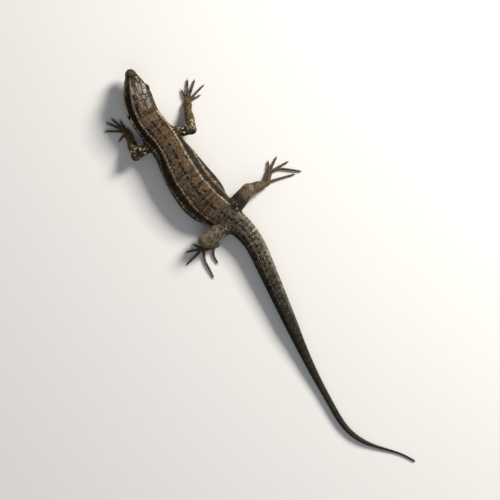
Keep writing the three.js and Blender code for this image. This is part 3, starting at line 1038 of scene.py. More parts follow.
class Tone(Enum):
    """Colours of the coat, as display values from 0 to 255."""

    BACK = (99, 79, 55)
    BACK_LEFT = (93, 75, 55)
    BACK_DARK = (30, 20, 11)
    PALE_LINE = (150, 132, 104)
    ROSY_LINE = (150, 128, 108)
    CREAM = (202, 189, 144)
    FLANK = (24, 17, 9)
    FLANK_EDGE = (64, 50, 31)
    BLACK = (7, 6, 4)
    BELLY = (160, 152, 126)
    PILEUS = (56, 42, 25)
    PILEUS_PALE = (116, 96, 64)
    TAIL_ROOT = (72, 65, 52)
    TAIL_PALE = (120, 113, 97)
    TAIL_FAR = (38, 34, 22)
    TAIL_DARK = (19, 15, 9)
    ARM = (74, 60, 40)
    ARM_DARK = (18, 15, 10)
    # Pale mottles of the limbs; the same tone paints highlights on the head's shields.
    MOTTLE = (184, 176, 150)
    HAND = (102, 84, 54)
    THIGH = (54, 42, 31)
    SHIN = (92, 78, 59)
    KNEE = (130, 115, 92)
    TOE = (94, 78, 58)
    SOLE = (128, 116, 90)
    PUPIL = (6, 5, 4)
    IRIS = (120, 74, 34)
    IRIS_EDGE = (48, 28, 14)
    EYE_WHITE = (24, 18, 14)
    LID = (112, 98, 68)
    CLAW = (78, 60, 42)
    CLAW_TIP = (36, 27, 20)

    @property
    def linear(self) -> Array:
        """Gives the colour in linear light, from 0 to 1."""
        share = np.array(self.value) / 255
        return np.where(share <= 0.04045, share / 12.92, ((share + 0.055) / 1.055) ** 2.4)


def mix(colours: Array, tone: Tone, share: Array) -> Array:
    """Blends a tone over colours."""
    return colours + (tone.linear - colours) * np.clip(share, 0, 1)[:, None]


@dataclass(frozen=True)
class Stripe:
    """A line of colour along the body, stated by distance from the snout.

    The offset is how far it runs to the animal's right of the spine, seen from above. Beads
    swell and fade it at even steps, and spots break it up: then it shows only round them.
    """

    tone: Tone
    offset: Track
    half: Track
    strength: Track
    ragged: float = 0.2
    beads: float = 0.0
    spots: tuple[float, ...] = ()
    spot_half: float = 0.45
    seed: int = 1
    BEAD_STEP = 1.05

    def share(self, d: Array, aside: Array, points: Array) -> Array:
        """Gives how much of the stripe shows at each place.

        Args:
            d: distances from the snout.
            aside: distances to the right of the spine, followed down round the flank.
            points: the places themselves.

        Returns:
            Shares from 0 to 1.
        """
        wander = (speckle(points, 0.7, self.seed) - 0.5) * 1.4 * self.ragged
        turn = d / self.BEAD_STEP + 0.6 * speckle(points, 3.0, self.seed + 1)
        beat = self.beads * np.cos(2 * np.pi * turn)
        half = np.maximum(self.half(d) * (1 + beat), 1e-3)
        gap = np.abs(aside - self.offset(d) + wander)
        share = (1 - smooth_share(gap, half * 0.6, half * 1.4 + 0.04)) * (1 + 0.7 * beat)
        if self.spots:
            places = np.array(self.spots)
            here = d + (speckle(points, 0.9, self.seed + 3) - 0.5) * 0.7
            nearest = places[np.searchsorted((places[1:] + places[:-1]) / 2, here)]
            reach = self.spot_half
            share = share * (1 - smooth_share(np.abs(here - nearest), reach * 0.75, reach * 1.25))
        patchy = 0.75 + 0.5 * speckle(points, 1.1, self.seed + 2)
        return np.clip(share * self.strength(d) * patchy, 0, 1)


def even_spots(first: float, last: float, step: float) -> tuple[float, ...]:
    """Gives the places of spots at even steps."""
    return tuple(np.arange(first, last, step))


class Markings:
    """Colours of skin and scales at any place of the animal."""

    # Middles of the black flecks on the back, by distance from the snout.
    MIDDLE_FLECKS = (
        18.6, 20, 21.4, 22.7, 24.6, 27.3, 29.6, 30.8, 31.9, 34.1, 35.5, 37, 38.8, 40.5, 42.1, 43.5,
        44.8, 46.7, 48.4, 50.3, 51.8, 53.6, 54.9, 56.4, 57.8, 59.2, 60.8, 62.5,
    )
    LEFT_FLECKS = (20, 21.3, 23.8, 26.5, 29.5, 31.8, 34.6, 37.9, 41.2, 44.5, 48, 50.7, 53.6, 56.5, 59)
    RIGHT_FLECKS = (19.2, 21, 24.4, 28, 31.5, 33.4, 35.8, 39.7, 42.6, 45.4, 48.2, 51.2, 53.8, 57, 60)
    ARM_TONES = (Tone.ARM, Tone.HAND, Tone.HAND, Tone.TOE)
    LEG_TONES = (Tone.THIGH, Tone.SHIN, Tone.SHIN, Tone.TOE)
    # Widths and strengths that several stripes share.
    THIN = (Track((16, 0.16), (60, 0.14)), Track((16, 0), (19, 0.7), (54, 0.7), (58, 0)))
    TAIL_ROW = Track((60, 0), (64, 1), (98, 0.9), (106, 0))
    TAIL_SIDE = Track((60, 0), (64, 0.9), (98, 0.8), (106, 0))
    PALE_ROW = Track((60, 0.18), (100, 0.15))
    STRIPES = (
        # Dark bands and lines of the right flank, with a broken pale line between them.
        Stripe(
            Tone.FLANK, Track((16, 4.65), (27, 4.6), (33, 4.6), (48, 4.65), (58, 3.8)),
            Track((16, 0.24), (27, 0.42), (34, 0.85), (48, 0.75), (58, 0.4)),
            Track((14, 0), (17, 0.9), (50, 0.9), (58, 0.4), (60, 0)), seed=11,
        ),
        Stripe(
            Tone.PALE_LINE, Track((16, 5.2), (22, 5.4), (34, 5.75), (52, 5.9)),
            Track((16, 0.26), (50, 0.2)),
            Track((17, 0), (19, 0.8), (24, 0.7), (29, 0.35), (34, 0.5), (46, 0.5), (53, 0)),
            ragged=0.45, beads=0.35, seed=12,
        ),
        Stripe(
            Tone.FLANK, Track((30, 6.6), (50, 6.8)), Track((30, 0.3), (50, 0.35)),
            Track((28, 0), (33, 0.8), (47, 0.8), (51, 0)), ragged=0.4, seed=13,
        ),
        # The broad dark band of the left flank, and the thin pale line outside it.
        Stripe(
            Tone.FLANK,
            Track((14, -3.55), (22, -3.5), (26, -3.1), (32, -4.3), (40, -4.9), (46, -4.8), (56, -4.4)),
            Track(
                (14, 1.0), (22, 0.9), (26, 0.75), (29, 0.8), (34, 1), (40, 0.85), (46, 0.7),
                (52, 0.5), (56, 0.3),
            ),
            Track((13, 0.4), (15, 1), (32, 0.95), (50, 0.85), (56, 0.4), (60, 0)), ragged=0.3, seed=14,
        ),
        Stripe(
            Tone.PALE_LINE,
            Track(
                (15, -4.45), (22, -4.5), (25, -4.0), (28, -4.0), (32, -5.4), (38, -6.3),
                (44, -6.4), (53, -5.3),
            ),
            Track((15, 0.2), (53, 0.18)),
            Track((14, 0.3), (16, 0.9), (28, 0.8), (32, 0.5), (47, 0.75), (55, 0)),
            ragged=0.5, beads=0.35, seed=15,
        ),
        # The beaded pale lines along both sides of the back, with thin dark lines inside them.
        Stripe(
            Tone.BACK_DARK,
            Track(
                (16, 3.55), (22, 3.75), (25, 3.85), (28, 3.4), (34, 3.05), (40, 3.05), (47, 3.45), (56, 2.8)
            ),
            *THIN, ragged=0.35, seed=28,
        ),
        Stripe(
            Tone.BACK_DARK,
            Track((16, -1.95), (25, -1.6), (30, -2), (34, -2.7), (40, -3.25), (56, -3.25)),
            *THIN, ragged=0.35, seed=29,
        ),
        Stripe(
            Tone.PALE_LINE,
            Track(
                (16, 4), (22, 4.2), (25, 4.3), (28, 3.85), (34, 3.5), (40, 3.5), (47, 3.9),
                (56, 3.25), (60, 2.8),
            ),
            Track((16, 0.23), (60, 0.22)),
            Track((14.5, 0), (17, 0.95), (50, 0.9), (57, 0.4), (60, 0)), ragged=0.3, beads=0.3, seed=16,
        ),
        Stripe(
            Tone.PALE_LINE,
            Track(
                (15, -2.4), (20, -2.4), (25, -2.05), (30, -2.45), (34, -3.15), (40, -3.7),
                (48, -3.9), (56, -3.7),
            ),
            Track((15, 0.2), (40, 0.24), (58, 0.22)),
            Track((14, 0.4), (16, 0.85), (46, 0.75), (55, 0.4), (60, 0)), ragged=0.3, beads=0.3, seed=17,
        ),
        # The black flecks of the back, in three rows.
        Stripe(
            Tone.BLACK,
            Track((16, 0.5), (20, 0.8), (27, 0.9), (32, 0.4), (40, 0), (44, -0.1), (54, 0), (62, 0.1)),
            Track((16, 0.32), (34, 0.34), (42, 0.42), (60, 0.4)),
            Track((16, 0), (18, 1.6), (62, 1.6), (66, 0)),
            ragged=0.4, spots=MIDDLE_FLECKS, spot_half=0.5, seed=18,
        ),
        Stripe(
            Tone.BLACK, Track((16, 2.9), (28, 2.5), (32, 3), (48, 1.7), (60, 1.7)),
            Track((16, 0.22), (60, 0.22)), Track((16, 0), (19, 1.5), (60, 1.3), (64, 0)),
            ragged=0.5, spots=RIGHT_FLECKS, spot_half=0.36, seed=22,
        ),
        Stripe(
            Tone.BLACK, Track((16, -1.6), (30, -1.8), (40, -2.2), (48, -1.3), (60, -1.8)),
            Track((16, 0.25), (60, 0.24)), Track((16, 0), (18, 1.5), (60, 1.3), (64, 0)),
            ragged=0.5, spots=LEFT_FLECKS, spot_half=0.38, seed=23,
        ),
        # The tail: a pale band on its right, rows of dark and pale spots, and a dark left side.
        Stripe(
            Tone.TAIL_PALE, Track((54, 3.4), (62, 2.6), (75, 2.1), (85, 1.85), (95, 1.5)),
            Track((54, 0.3), (60, 0.5), (68, 0.65), (80, 0.5), (95, 0.3)),
            Track((52, 0), (60, 0.6), (80, 0.4), (100, 0)), ragged=0.4, beads=0.2, seed=27,
        ),
        Stripe(
            Tone.TAIL_DARK, Track((60, 0), (100, -0.3)), Track((60, 0.34), (100, 0.28)), TAIL_ROW,
            ragged=0.4, spots=even_spots(61, 104, 2.0), seed=19,
        ),
        Stripe(
            Tone.TAIL_DARK, Track((60, 1.9), (80, 1.45), (100, 0.9)), Track((60, 0.3), (100, 0.25)),
            TAIL_SIDE, ragged=0.3, spots=even_spots(61.6, 104, 2.0), seed=20,
        ),
        Stripe(
            Tone.TAIL_DARK, Track((60, -1.7), (80, -1.4), (100, -1)), Track((60, 0.4), (100, 0.3)),
            TAIL_ROW, ragged=0.3, spots=even_spots(60.4, 104, 2.0), spot_half=0.55, seed=21,
        ),
        Stripe(
            Tone.TAIL_DARK, Track((58, -3.5), (80, -2.5), (100, -1.7)), Track((60, 0.6), (100, 0.5)),
            Track((58, 0), (64, 0.9), (98, 0.9), (106, 0)), ragged=0.4, seed=24,
        ),
        Stripe(
            Tone.TAIL_PALE, Track((60, 0.9), (100, 0.45)), PALE_ROW,
            Track((58, 0), (64, 0.45), (74, 0.3), (90, 0.2), (100, 0)),
            beads=0.6, spots=even_spots(60, 100, 1.2), spot_half=0.3, seed=25,
        ),
        Stripe(
            Tone.TAIL_PALE, Track((60, -0.9), (100, -0.7)), PALE_ROW,
            Track((58, 0), (64, 0.4), (74, 0.25), (90, 0.15), (100, 0)),
            beads=0.6, spots=even_spots(60.4, 100, 1.2), spot_half=0.3, seed=26,
        ),
    )
    shade = Track((17, 1.04), (24, 0.86), (33, 1.03), (45, 0.97), (60, 0.94))
    temple_height = Track((2, 5.8), (6, 6.8), (10, 6.85), (14, 6.4), (17, 6.2))
    pileus_edge = Track((2, 0.56), (6, 0.58), (10, 0.61), (15, 0.66))
    pileus_dots = Track((3, 0.04), (7, 0.13), (11, 0.16), (14, 0.06))

    def __init__(self, form: BodyForm, head: HeadForm) -> None:
        """Keeps the forms of the body, along which the markings run, and of the head."""
        self.form = form
        self.head = head

    def body(self, points: Array) -> Array:
        """Gives the colours of places on the body, from snout to tail tip.

        Args:
            points: places in millimetres, as (n, 3).

        Returns:
            Linear colours, as (n, 3).
        """
        d, across, out, height = self.form.read(points)
        under = np.maximum(self.form.widest(d) - height, 0)
        aside = -across - np.sign(out) * under * 0.9
        grain = speckle(points, 0.55, 3)
        patch = speckle(points, 1.3, 4)
        colours = np.tile(Tone.BACK.linear, (len(points), 1))
        colours = mix(colours, Tone.BACK_LEFT, smooth_share(-aside, -1.5, 1.5)) * self.shade(d)[:, None]
        mottling = (
            (Tone.BACK_DARK, speckle(points, 0.4, 6), 0.52, 0.72, 0.55),
            (Tone.BACK_DARK, grain * 0.6 + patch * 0.4, 0.52, 0.74, 0.35),
            (Tone.BLACK, speckle(points, 0.5, 5), 0.76, 0.86, 0.8),
        )
        for tone, noise, start, end, strength in mottling:
            colours = mix(colours, tone, smooth_share(noise, start, end) * strength)
        edge = self.form.half_width(d)
        flank = smooth_share(np.abs(aside), edge - 1.9, edge - 1.1) * smooth_share(d, 15, 18)
        colours = mix(colours, Tone.FLANK_EDGE, flank * 0.8)
        dark = smooth_share(patch * 0.6 + grain * 0.4, 0.38, 0.56)
        colours = mix(colours, Tone.FLANK, flank * dark * 0.9)
        colours = self.tail_base(colours, d, grain)
        for stripe in self.STRIPES:
            colours = mix(colours, stripe.tone, stripe.share(d, aside, points))
        below = smooth_share(np.abs(aside) - edge, 0.5, 1.9)
        belly = 1 - 0.55 * smooth_share(d, 62, 100)
        colours = mix(colours, Tone.BELLY, below * belly * (0.75 + 0.25 * grain))
        ahead = d < 17
        colours[ahead] = self.head_over(colours[ahead], points[ahead])
        return colours

    def tail_base(self, colours: Array, d: Array, grain: Array) -> Array:
        """Turns the back's colour into the tail's, with dark rings towards its end.

        Args:
            colours: the back's colours.
            d: distances along the spine.
            grain: uneven values from 0 to 1.

        Returns:
            The changed colours.
        """
        root = smooth_share(d, 45, 62)
        colours = mix(colours, Tone.TAIL_ROOT, root * 0.9)
        colours = mix(colours, Tone.TAIL_FAR, smooth_share(d, 68, 92))
        rings = smooth_share(np.cos(2 * np.pi * d / 1.12), 0.0, 0.8)
        banded = smooth_share(d, 96, 102) * (1 - smooth_share(d, 108, 118))
        colours = mix(colours, Tone.TAIL_DARK, rings * banded * 0.7)
        return mix(colours, Tone.TAIL_DARK, root * smooth_share(grain, 0.55, 0.85) * 0.6)

    def head_over(self, colours: Array, points: Array) -> Array:
        """Lays the head's own markings over the body's, with painted highlights on the shields and painted
        shade in the nostrils and ears.

        Args:
            colours: the colours below.
            points: the places.

        Returns:
            The blended colours.
        """
        d, _, out, height = self.form.read(points)
        blotch = speckle(points, 0.8, 31)
        fine = speckle(points, 0.32, 32)
        base = np.tile(Tone.PILEUS.linear, (len(d), 1))
        top = mix(base, Tone.PILEUS_PALE, smooth_share(blotch * 0.5 + fine * 0.5, 0.48, 0.7) * 0.8)
        # Painted highlights: pale streaks along the brows and the frontal where the shields shine, and pale
        # blotches on the snout, partly its own colour and partly painted highlight.
        ridge = bump_share(np.abs(out), 2.0, 0.5) * bump_share(d, 6.8, 2.2)
        ridge += bump_share(out, 0, 0.55) * bump_share(d, 5.7, 1.3)
        ridge += (1 - smooth_share(d, 3.4, 4.6)) * smooth_share(blotch, 0.42, 0.6)
        top = mix(top, Tone.MOTTLE, ridge * smooth_share(fine, 0.2, 0.5) * 0.6)
        dots = speckle(points, 0.5, 33) + self.pileus_dots(d)
        top = mix(top, Tone.BLACK, smooth_share(dots, 0.68, 0.78) * 0.92)
        side = mix(base, Tone.PILEUS_PALE, smooth_share(fine, 0.45, 0.8) * 0.5)
        temple = bump_share(height, self.temple_height(d), 1.65) * smooth_share(d, 1.5, 3.5)
        side = mix(side, Tone.BLACK, smooth_share(temple, 0.15, 0.4) * 0.95)
        cream = bump_share(height, 4.75, 0.95) * smooth_share(d, 3, 6)
        side = mix(side, Tone.CREAM, smooth_share(cream, 0.2, 0.6) * 0.95)
        blots = smooth_share(speckle(points, 0.85, 34), 0.66, 0.76)
        side = mix(side, Tone.BLACK, blots * smooth_share(-height, -4.9, -4.3) * 0.8)
        side = mix(side, Tone.BELLY, 1 - smooth_share(height, 3.0, 4.0))
        edge = self.form.half_width(d) * self.pileus_edge(d)
        share = smooth_share(np.abs(out), edge, edge + 0.25) * smooth_share(-height, -8.4, -7.4)
        share = np.maximum(share, 1 - smooth_share(height, 6.6, 7.0))
        head = top + (side - top) * share[:, None]
        line = bump_share(out, edge, 0.45) + 0.3 * bump_share(-out, edge, 0.3)
        line = line * smooth_share(height, 6.2, 6.7) * smooth_share(d, 2.5, 4.5)
        head = mix(head, Tone.ROSY_LINE, line * (0.6 + 0.5 * fine))
        collar = bump_share(d, 15.5, 0.4) * smooth_share(height, 5.6, 6.2)
        head = mix(head, Tone.BLACK, collar * 0.7)
        # Painted shade: the nostrils and the ear openings are painted near-black.
        head = mix(head, Tone.BLACK, self.painted_hollow_shade(d, out, height) * 0.95)
        return head + (colours - head) * smooth_share(d, 15.5, 16.1)[:, None]

    def painted_hollow_shade(self, d: Array, out: Array, height: Array) -> Array:
        """Gives how far places lie in a nostril or an ear's opening, from 0 to 1, where shade is painted.

        Args:
            d: distances along the spine.
            out: distances to the left of the spine, with the roll taken off.
            height: heights above the ground, with the roll taken off.

        Returns:
            The shares.
        """
        head = self.head
        nostril = head.ellipsoid(d, out, height, head.NOSTRIL[:3], (head.NOSTRIL[3],) * 3)
        ear = head.ellipsoid(d, out, height, head.EAR, head.EAR_RADII)
        return 1 - smooth_share(np.minimum(nostril + 0.04, ear), 0.02, 0.12)

    def limb(self, limb: Limb, piece: int, share: Array, facing: Array, points: Array) -> Array:
        """Gives the colours of places on a limb.

        Args:
            limb: the limb.
            piece: 0 upper, 1 lower, 2 palm or sole, 3 digits.
            share: how far along the piece, from 0 to 1.
            facing: how far the surface faces up, from -1 to 1.
            points: the places themselves.

        Returns:
            Linear colours, as (n, 3).
        """
        is_arm = limb.build is LimbBuild.ARM
        bases = self.ARM_TONES if is_arm else self.LEG_TONES
        colours = np.tile(bases[piece].linear, (len(points), 1))
        patch = speckle(points, 0.9, 41)
        dots = speckle(points, 0.62, 42)
        fine = speckle(points, 0.4, 43)
        blend = fine * 0.5 + patch * 0.5
        if is_arm:
            dark = (0.95, 0.75 * (1 - share), 0.2, 0.2)[piece]
            colours = mix(colours, Tone.ARM_DARK, smooth_share(blend, 0.36, 0.52) * dark)
            if piece < 2:
                pale = bump_share(share, (0.65, 0.2)[piece], 0.4)
                colours = mix(colours, Tone.MOTTLE, smooth_share(dots, 0.56, 0.66) * pale * 0.9)
        else:
            if piece == 0:
                start = 0.15 if limb.side == "left" else 0.6
                colours = mix(colours, Tone.KNEE, smooth_share(share, start, start + 0.35) * 0.8)
                pale = 0.8 * (1 - 1.5 * share)
                colours = mix(colours, Tone.MOTTLE, smooth_share(dots, 0.62, 0.74) * pale)
            dark = (0.85 * (1 - 0.5 * share), 0.35, 0.25, 0.3)[piece]
            colours = mix(colours, Tone.ARM_DARK, smooth_share(blend, 0.42, 0.58) * dark)
        dotted = smooth_share(fine, 0.66, 0.78) * (0.85 if is_arm else 0.5)
        colours = mix(colours, Tone.BLACK, dotted)
        return mix(colours, Tone.SOLE, smooth_share(-facing, 0.15, 0.6) * 0.85)

# ---------------- meshes of scales


@dataclass(frozen=True)
class ScaleShape:
    """Outline and relief of one kind of scale.

    Each ring is (share of the outline, share of the height); heights below 0 lie under the
    skin. The keel is a ridge along the middle and the tilt lifts the rear edge, both as shares
    of the height. The last field, above 0, makes the scale's edge darker and its top paler:
    painted shade in the grooves between scales and a painted highlight on its top and keel.
    """

    sides: int = 10
    squareness: float = 2.4
    rings: tuple[tuple[float, float], ...] = ((1.0, -0.4), (0.94, 0.3), (0.7, 0.82), (0.34, 1.0))
    keel: float = 0.0
    tilt: float = 0.25
    point: float = 0.0
    painted_shade_and_highlight: float = 0.25

    def template(self) -> tuple[Array, Array, Array]:
        """Gives the shape's corners as (along, across, height) in shares, and its faces.

        Returns:
            The corners, then the four-cornered and the three-cornered faces.
        """
        turn = 2 * np.pi * (np.arange(self.sides) + 0.5) / self.sides
        c, s = np.cos(turn), np.sin(turn)
        power = 2 / self.squareness
        along = np.sign(c) * np.abs(c) ** power
        across = np.sign(s) * np.abs(s) ** power
        along = along + self.point * np.maximum(along, 0) * (1 - np.abs(across))
        corners = []
        for share, height in self.rings:
            lift = np.full(self.sides, height)
            if height > 0:
                ridge = self.keel * np.clip(1 - np.abs(across * share) / 0.4, 0, 1)
                lift = height * (1 + self.tilt * along * share + ridge)
            corners.append(np.stack([along * share, across * share, lift], 1))
        corners.append([[0, 0, 1 + self.keel], [0, 0, self.rings[0][1]]])
        return np.vstack(corners), *closed_faces(len(self.rings), self.sides)


@dataclass
class ScaleSet:
    """Places and sizes of many scales of one shape, in millimetres."""

    centres: Array
    aims: Array
    lengths: Array
    widths: Array
    heights: Array
    colours: Array
    roots: Array

    def kept(self, keep: Array) -> "ScaleSet":
        """Gives the set with only the scales that a mask keeps."""
        return ScaleSet(*(getattr(self, name)[keep] for name in self.__dataclass_fields__))


def linked(name: str, data: bpy.types.ID) -> bpy.types.Object:
    """Makes an object of a mesh, light or camera and links it to the scene.

    Args:
        name: the object's name.
        data: the mesh, light or camera.

    Returns:
        The object.
    """
    found = bpy.data.objects.new(name, data)
    bpy.context.scene.collection.objects.link(found)
    return found


@dataclass
class MeshParts:
    """Corners, faces, colours and unwrap places of one mesh, in millimetres."""

    points: Array
    quads: Array
    tris: Array
    colours: Array
    roots: Array

    @staticmethod
    def joined(parts: list["MeshParts"]) -> "MeshParts":
        """Joins several sets of parts into one.

        Args:
            parts: the sets in order.

        Returns:
            The whole.
        """
        starts = np.cumsum([0] + [len(part.points) for part in parts[:-1]])
        return MeshParts(
            np.vstack([part.points for part in parts]),
            *(
                np.vstack([getattr(part, name) + start for part, start in zip(parts, starts)])
                for name in ("quads", "tris")
            ),
            *(np.vstack([getattr(part, name) for part in parts]) for name in ("colours", "roots")),
        )

    def object(self, name: str, is_coat: bool = True) -> bpy.types.Object:
        """Makes a smooth-shaded object with the colour layer and, on a coat, the unwrap.

        Args:
            name: the object's name.
            is_coat: whether it is a coat of scales.

        Returns:
            The object, linked to the scene.
        """
        mesh = bpy.data.meshes.new(name)
        mesh.vertices.add(len(self.points))
        mesh.vertices.foreach_set("co", (self.points * MM).ravel())
        corners = np.concatenate([self.quads.ravel(), self.tris.ravel()]).astype(np.int32)
        sizes = np.concatenate([np.full(len(self.quads), 4), np.full(len(self.tris), 3)])
        mesh.loops.add(len(corners))
        mesh.loops.foreach_set("vertex_index", corners)
        mesh.polygons.add(len(sizes))
        starts = np.concatenate([[0], np.cumsum(sizes)[:-1]])
        mesh.polygons.foreach_set("loop_start", starts.astype(np.int32))
        mesh.polygons.foreach_set("loop_total", sizes.astype(np.int32))
        mesh.update(calc_edges=True)
        layer = mesh.color_attributes.new(COLOUR_LAYER, "FLOAT_COLOR", "POINT")
        rgba = np.concatenate([self.colours, np.ones((len(self.colours), 1))], 1)
        layer.data.foreach_set("color", rgba.astype(np.float32).ravel())
        if is_coat:
            unwrap = mesh.uv_layers.new(name=BAKE_MAP)
            unwrap.uv.foreach_set("vector", self.roots[corners].astype(np.float32).ravel())
        mesh.validate()
        mesh.shade_smooth()
        return linked(name, mesh)


class ScaleMaker:
    """Turns sets of scales into closed meshes that lie on the skin."""

    PATCH = 0.0015
    ROUNDS = 2
    MOST_MOVE = 0.16

    def __init__(self, field_: SkinField) -> None:
        """Keeps the field that the scales lie on."""
        self.field_ = field_

    def make(self, scales: ScaleSet, shape: ScaleShape) -> MeshParts:
        """Makes the meshes of one set.

        Args:
            scales: the places and sizes.
            shape: the outline and relief.

        Returns:
            The joined mesh parts.
        """
        corners, quads, tris = shape.template()
        count, size = len(scales.centres), len(corners)
        normals = self.field_.slope(scales.centres)
        aims = unit(scales.aims - normals * (scales.aims * normals).sum(1, keepdims=True))
        sides = np.cross(normals, aims)
        flat = (
            scales.centres[:, None]
            + aims[:, None] * (corners[None, :, :1] * scales.lengths[:, None, None] / 2)
            + sides[:, None] * (corners[None, :, 1:2] * scales.widths[:, None, None] / 2)
        ).reshape(-1, 3)
        settled, lift = self.field_.settle(flat, self.ROUNDS)
        far = np.linalg.norm(settled - flat, axis=1) > self.MOST_MOVE
        settled[far] = flat[far]
        lift[far] = np.repeat(normals, size, 0)[far]
        heights = np.repeat(scales.heights, size) * np.tile(corners[:, 2], count)
        points = settled + lift * heights[:, None]
        points[:, 2] = np.maximum(points[:, 2], FLOOR_CLEAR)
        step = (np.arange(count) * size)[:, None, None]
        # Painted shade at each scale's sunken edge and a painted highlight on its top and keel.
        shade = 1 + shape.painted_shade_and_highlight * (np.clip(corners[:, 2], -0.5, 1.2) - 0.6)
        colours = np.repeat(scales.colours, size, 0) * np.tile(shade, count)[:, None]
        roots = np.repeat(scales.roots, size, 0) + np.tile(corners[:, :2], (count, 1)) * self.PATCH
        return MeshParts(
            points,
            (quads[None] + step).reshape(-1, 4),
            (tris[None] + step).reshape(-1, 3),
            np.clip(colours, 0, 1),
            roots,
        )


# ---------------- finishes


@dataclass(frozen=True)
class Finish:
    """A finish whose colour comes from the coat's colour layer, with fine grain and bump."""

    name: str
    roughness: float = 0.5
    roughness_spread: float = 0.12
    specular: float = 0.45
    coat: float = 0.0
    coat_roughness: float = 0.2
    grain: float = 0.25
    grain_scale: float = 5200.0
    bump: float = 0.25
    bump_depth: float = 0.00004

    def material(self) -> bpy.types.Material:
        """Builds the finish's material, whose noise drives tint, gloss and bump.

        Returns:
            The material, with its nodes.
        """
        material = bpy.data.materials.new(self.name)
        material.use_nodes = True
        tree = material.node_tree
        shader = tree.nodes["Principled BSDF"]
        shader.inputs["Specular IOR Level"].default_value = self.specular
        shader.inputs["Coat Weight"].default_value = self.coat
        shader.inputs["Coat Roughness"].default_value = self.coat_roughness
        layer = tree.nodes.new("ShaderNodeAttribute")
        layer.attribute_name = COLOUR_LAYER
        place = tree.nodes.new("ShaderNodeTexCoord").outputs["Object"]
        grain = {"Scale": self.grain_scale, "Detail": 3.0}
        noise = self.node(tree, "TexNoise", place, "Vector", grain)
        fac = noise.outputs["Fac"]
        shade = self.node(tree, "VectorMath", layer.outputs["Color"], 0, {})
        shade.operation = "SCALE"
        tree.links.new(self.spread(tree, fac, 1, self.grain), shade.inputs["Scale"])
        tree.links.new(shade.outputs["Vector"], shader.inputs["Base Color"])
        gloss = self.spread(tree, fac, self.roughness, self.roughness_spread)
        tree.links.new(gloss, shader.inputs["Roughness"])
        relief = {"Strength": self.bump, "Distance": self.bump_depth}
        bump = self.node(tree, "Bump", fac, "Height", relief)
        tree.links.new(bump.outputs["Normal"], shader.inputs["Normal"])
        return material

    @staticmethod
    def node(
        tree: bpy.types.NodeTree, kind: str, source: bpy.types.NodeSocket, target: str | int,
        values: dict[str, float],
    ) -> bpy.types.Node:
        """Adds a node with a source linked to one socket and others set to values.

        Args:
            tree: the material's nodes.
            kind: the node's kind.
            source: the socket to link from.
            target: the node's input to link to.
            values: other inputs by name.

        Returns:
            The node.
        """
        node = tree.nodes.new(f"ShaderNode{kind}")
        tree.links.new(source, node.inputs[target])
        for name, value in values.items():
            node.inputs[name].default_value = value
        return node

    def spread(
        self, tree: bpy.types.NodeTree, source: bpy.types.NodeSocket, middle: float, half: float
    ) -> bpy.types.NodeSocket:
        """Maps a noise to values that lie within half of a middle one."""
        limits = {"To Min": middle - half, "To Max": middle + half}
        return self.node(tree, "MapRange", source, "Value", limits).outputs["Result"]


def dress(piece: bpy.types.Object, material: bpy.types.Material) -> None:
    """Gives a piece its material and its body.

    Args:
        piece: the piece.
        material: its material.
    """
    piece.data.materials.append(material)
    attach(piece, BODY)
    log.info("%s: %d corners, %d faces", piece.name, len(piece.data.vertices), len(piece.data.polygons))


# ---------------- unwrap


class Unwrap:
    """Places on the flat unwrap of the skin: body, four limbs, and the head's shields."""

    BODY_SPAN = (0.02, 0.96)
    BODY_BAND = (0.02, 0.46)
    LIMB_BAND = (0.5, 0.12)
    PIECES = 8

    @classmethod
    def body(cls, d: Array, turn: Array) -> Array:
        """Gives the unwrap place on the body."""
        u = cls.BODY_SPAN[0] + cls.BODY_SPAN[1] * d / BodyForm.LENGTH
        return np.stack([u, cls.BODY_BAND[0] + cls.BODY_BAND[1] * (turn + 0.5)], 1)

    @classmethod
    def limb(cls, limb: int, piece: int, share: Array, turn: Array) -> Array:
        """Gives the unwrap place on a limb.

        Args:
            limb: the limb's number.
            piece: the stem's number within the limb.
            share: how far along the stem, from 0 to 1.
            turn: how far round it, from 0 to 1.

        Returns:
            The places, as (n, 2).
        """
        u = (piece + 0.06 + 0.88 * np.clip(share, 0, 1)) / cls.PIECES
        v = cls.LIMB_BAND[0] + cls.LIMB_BAND[1] * (limb + 0.05 + 0.9 * turn)
        return np.stack([u, v], 1)


# ---------------- scales of the body


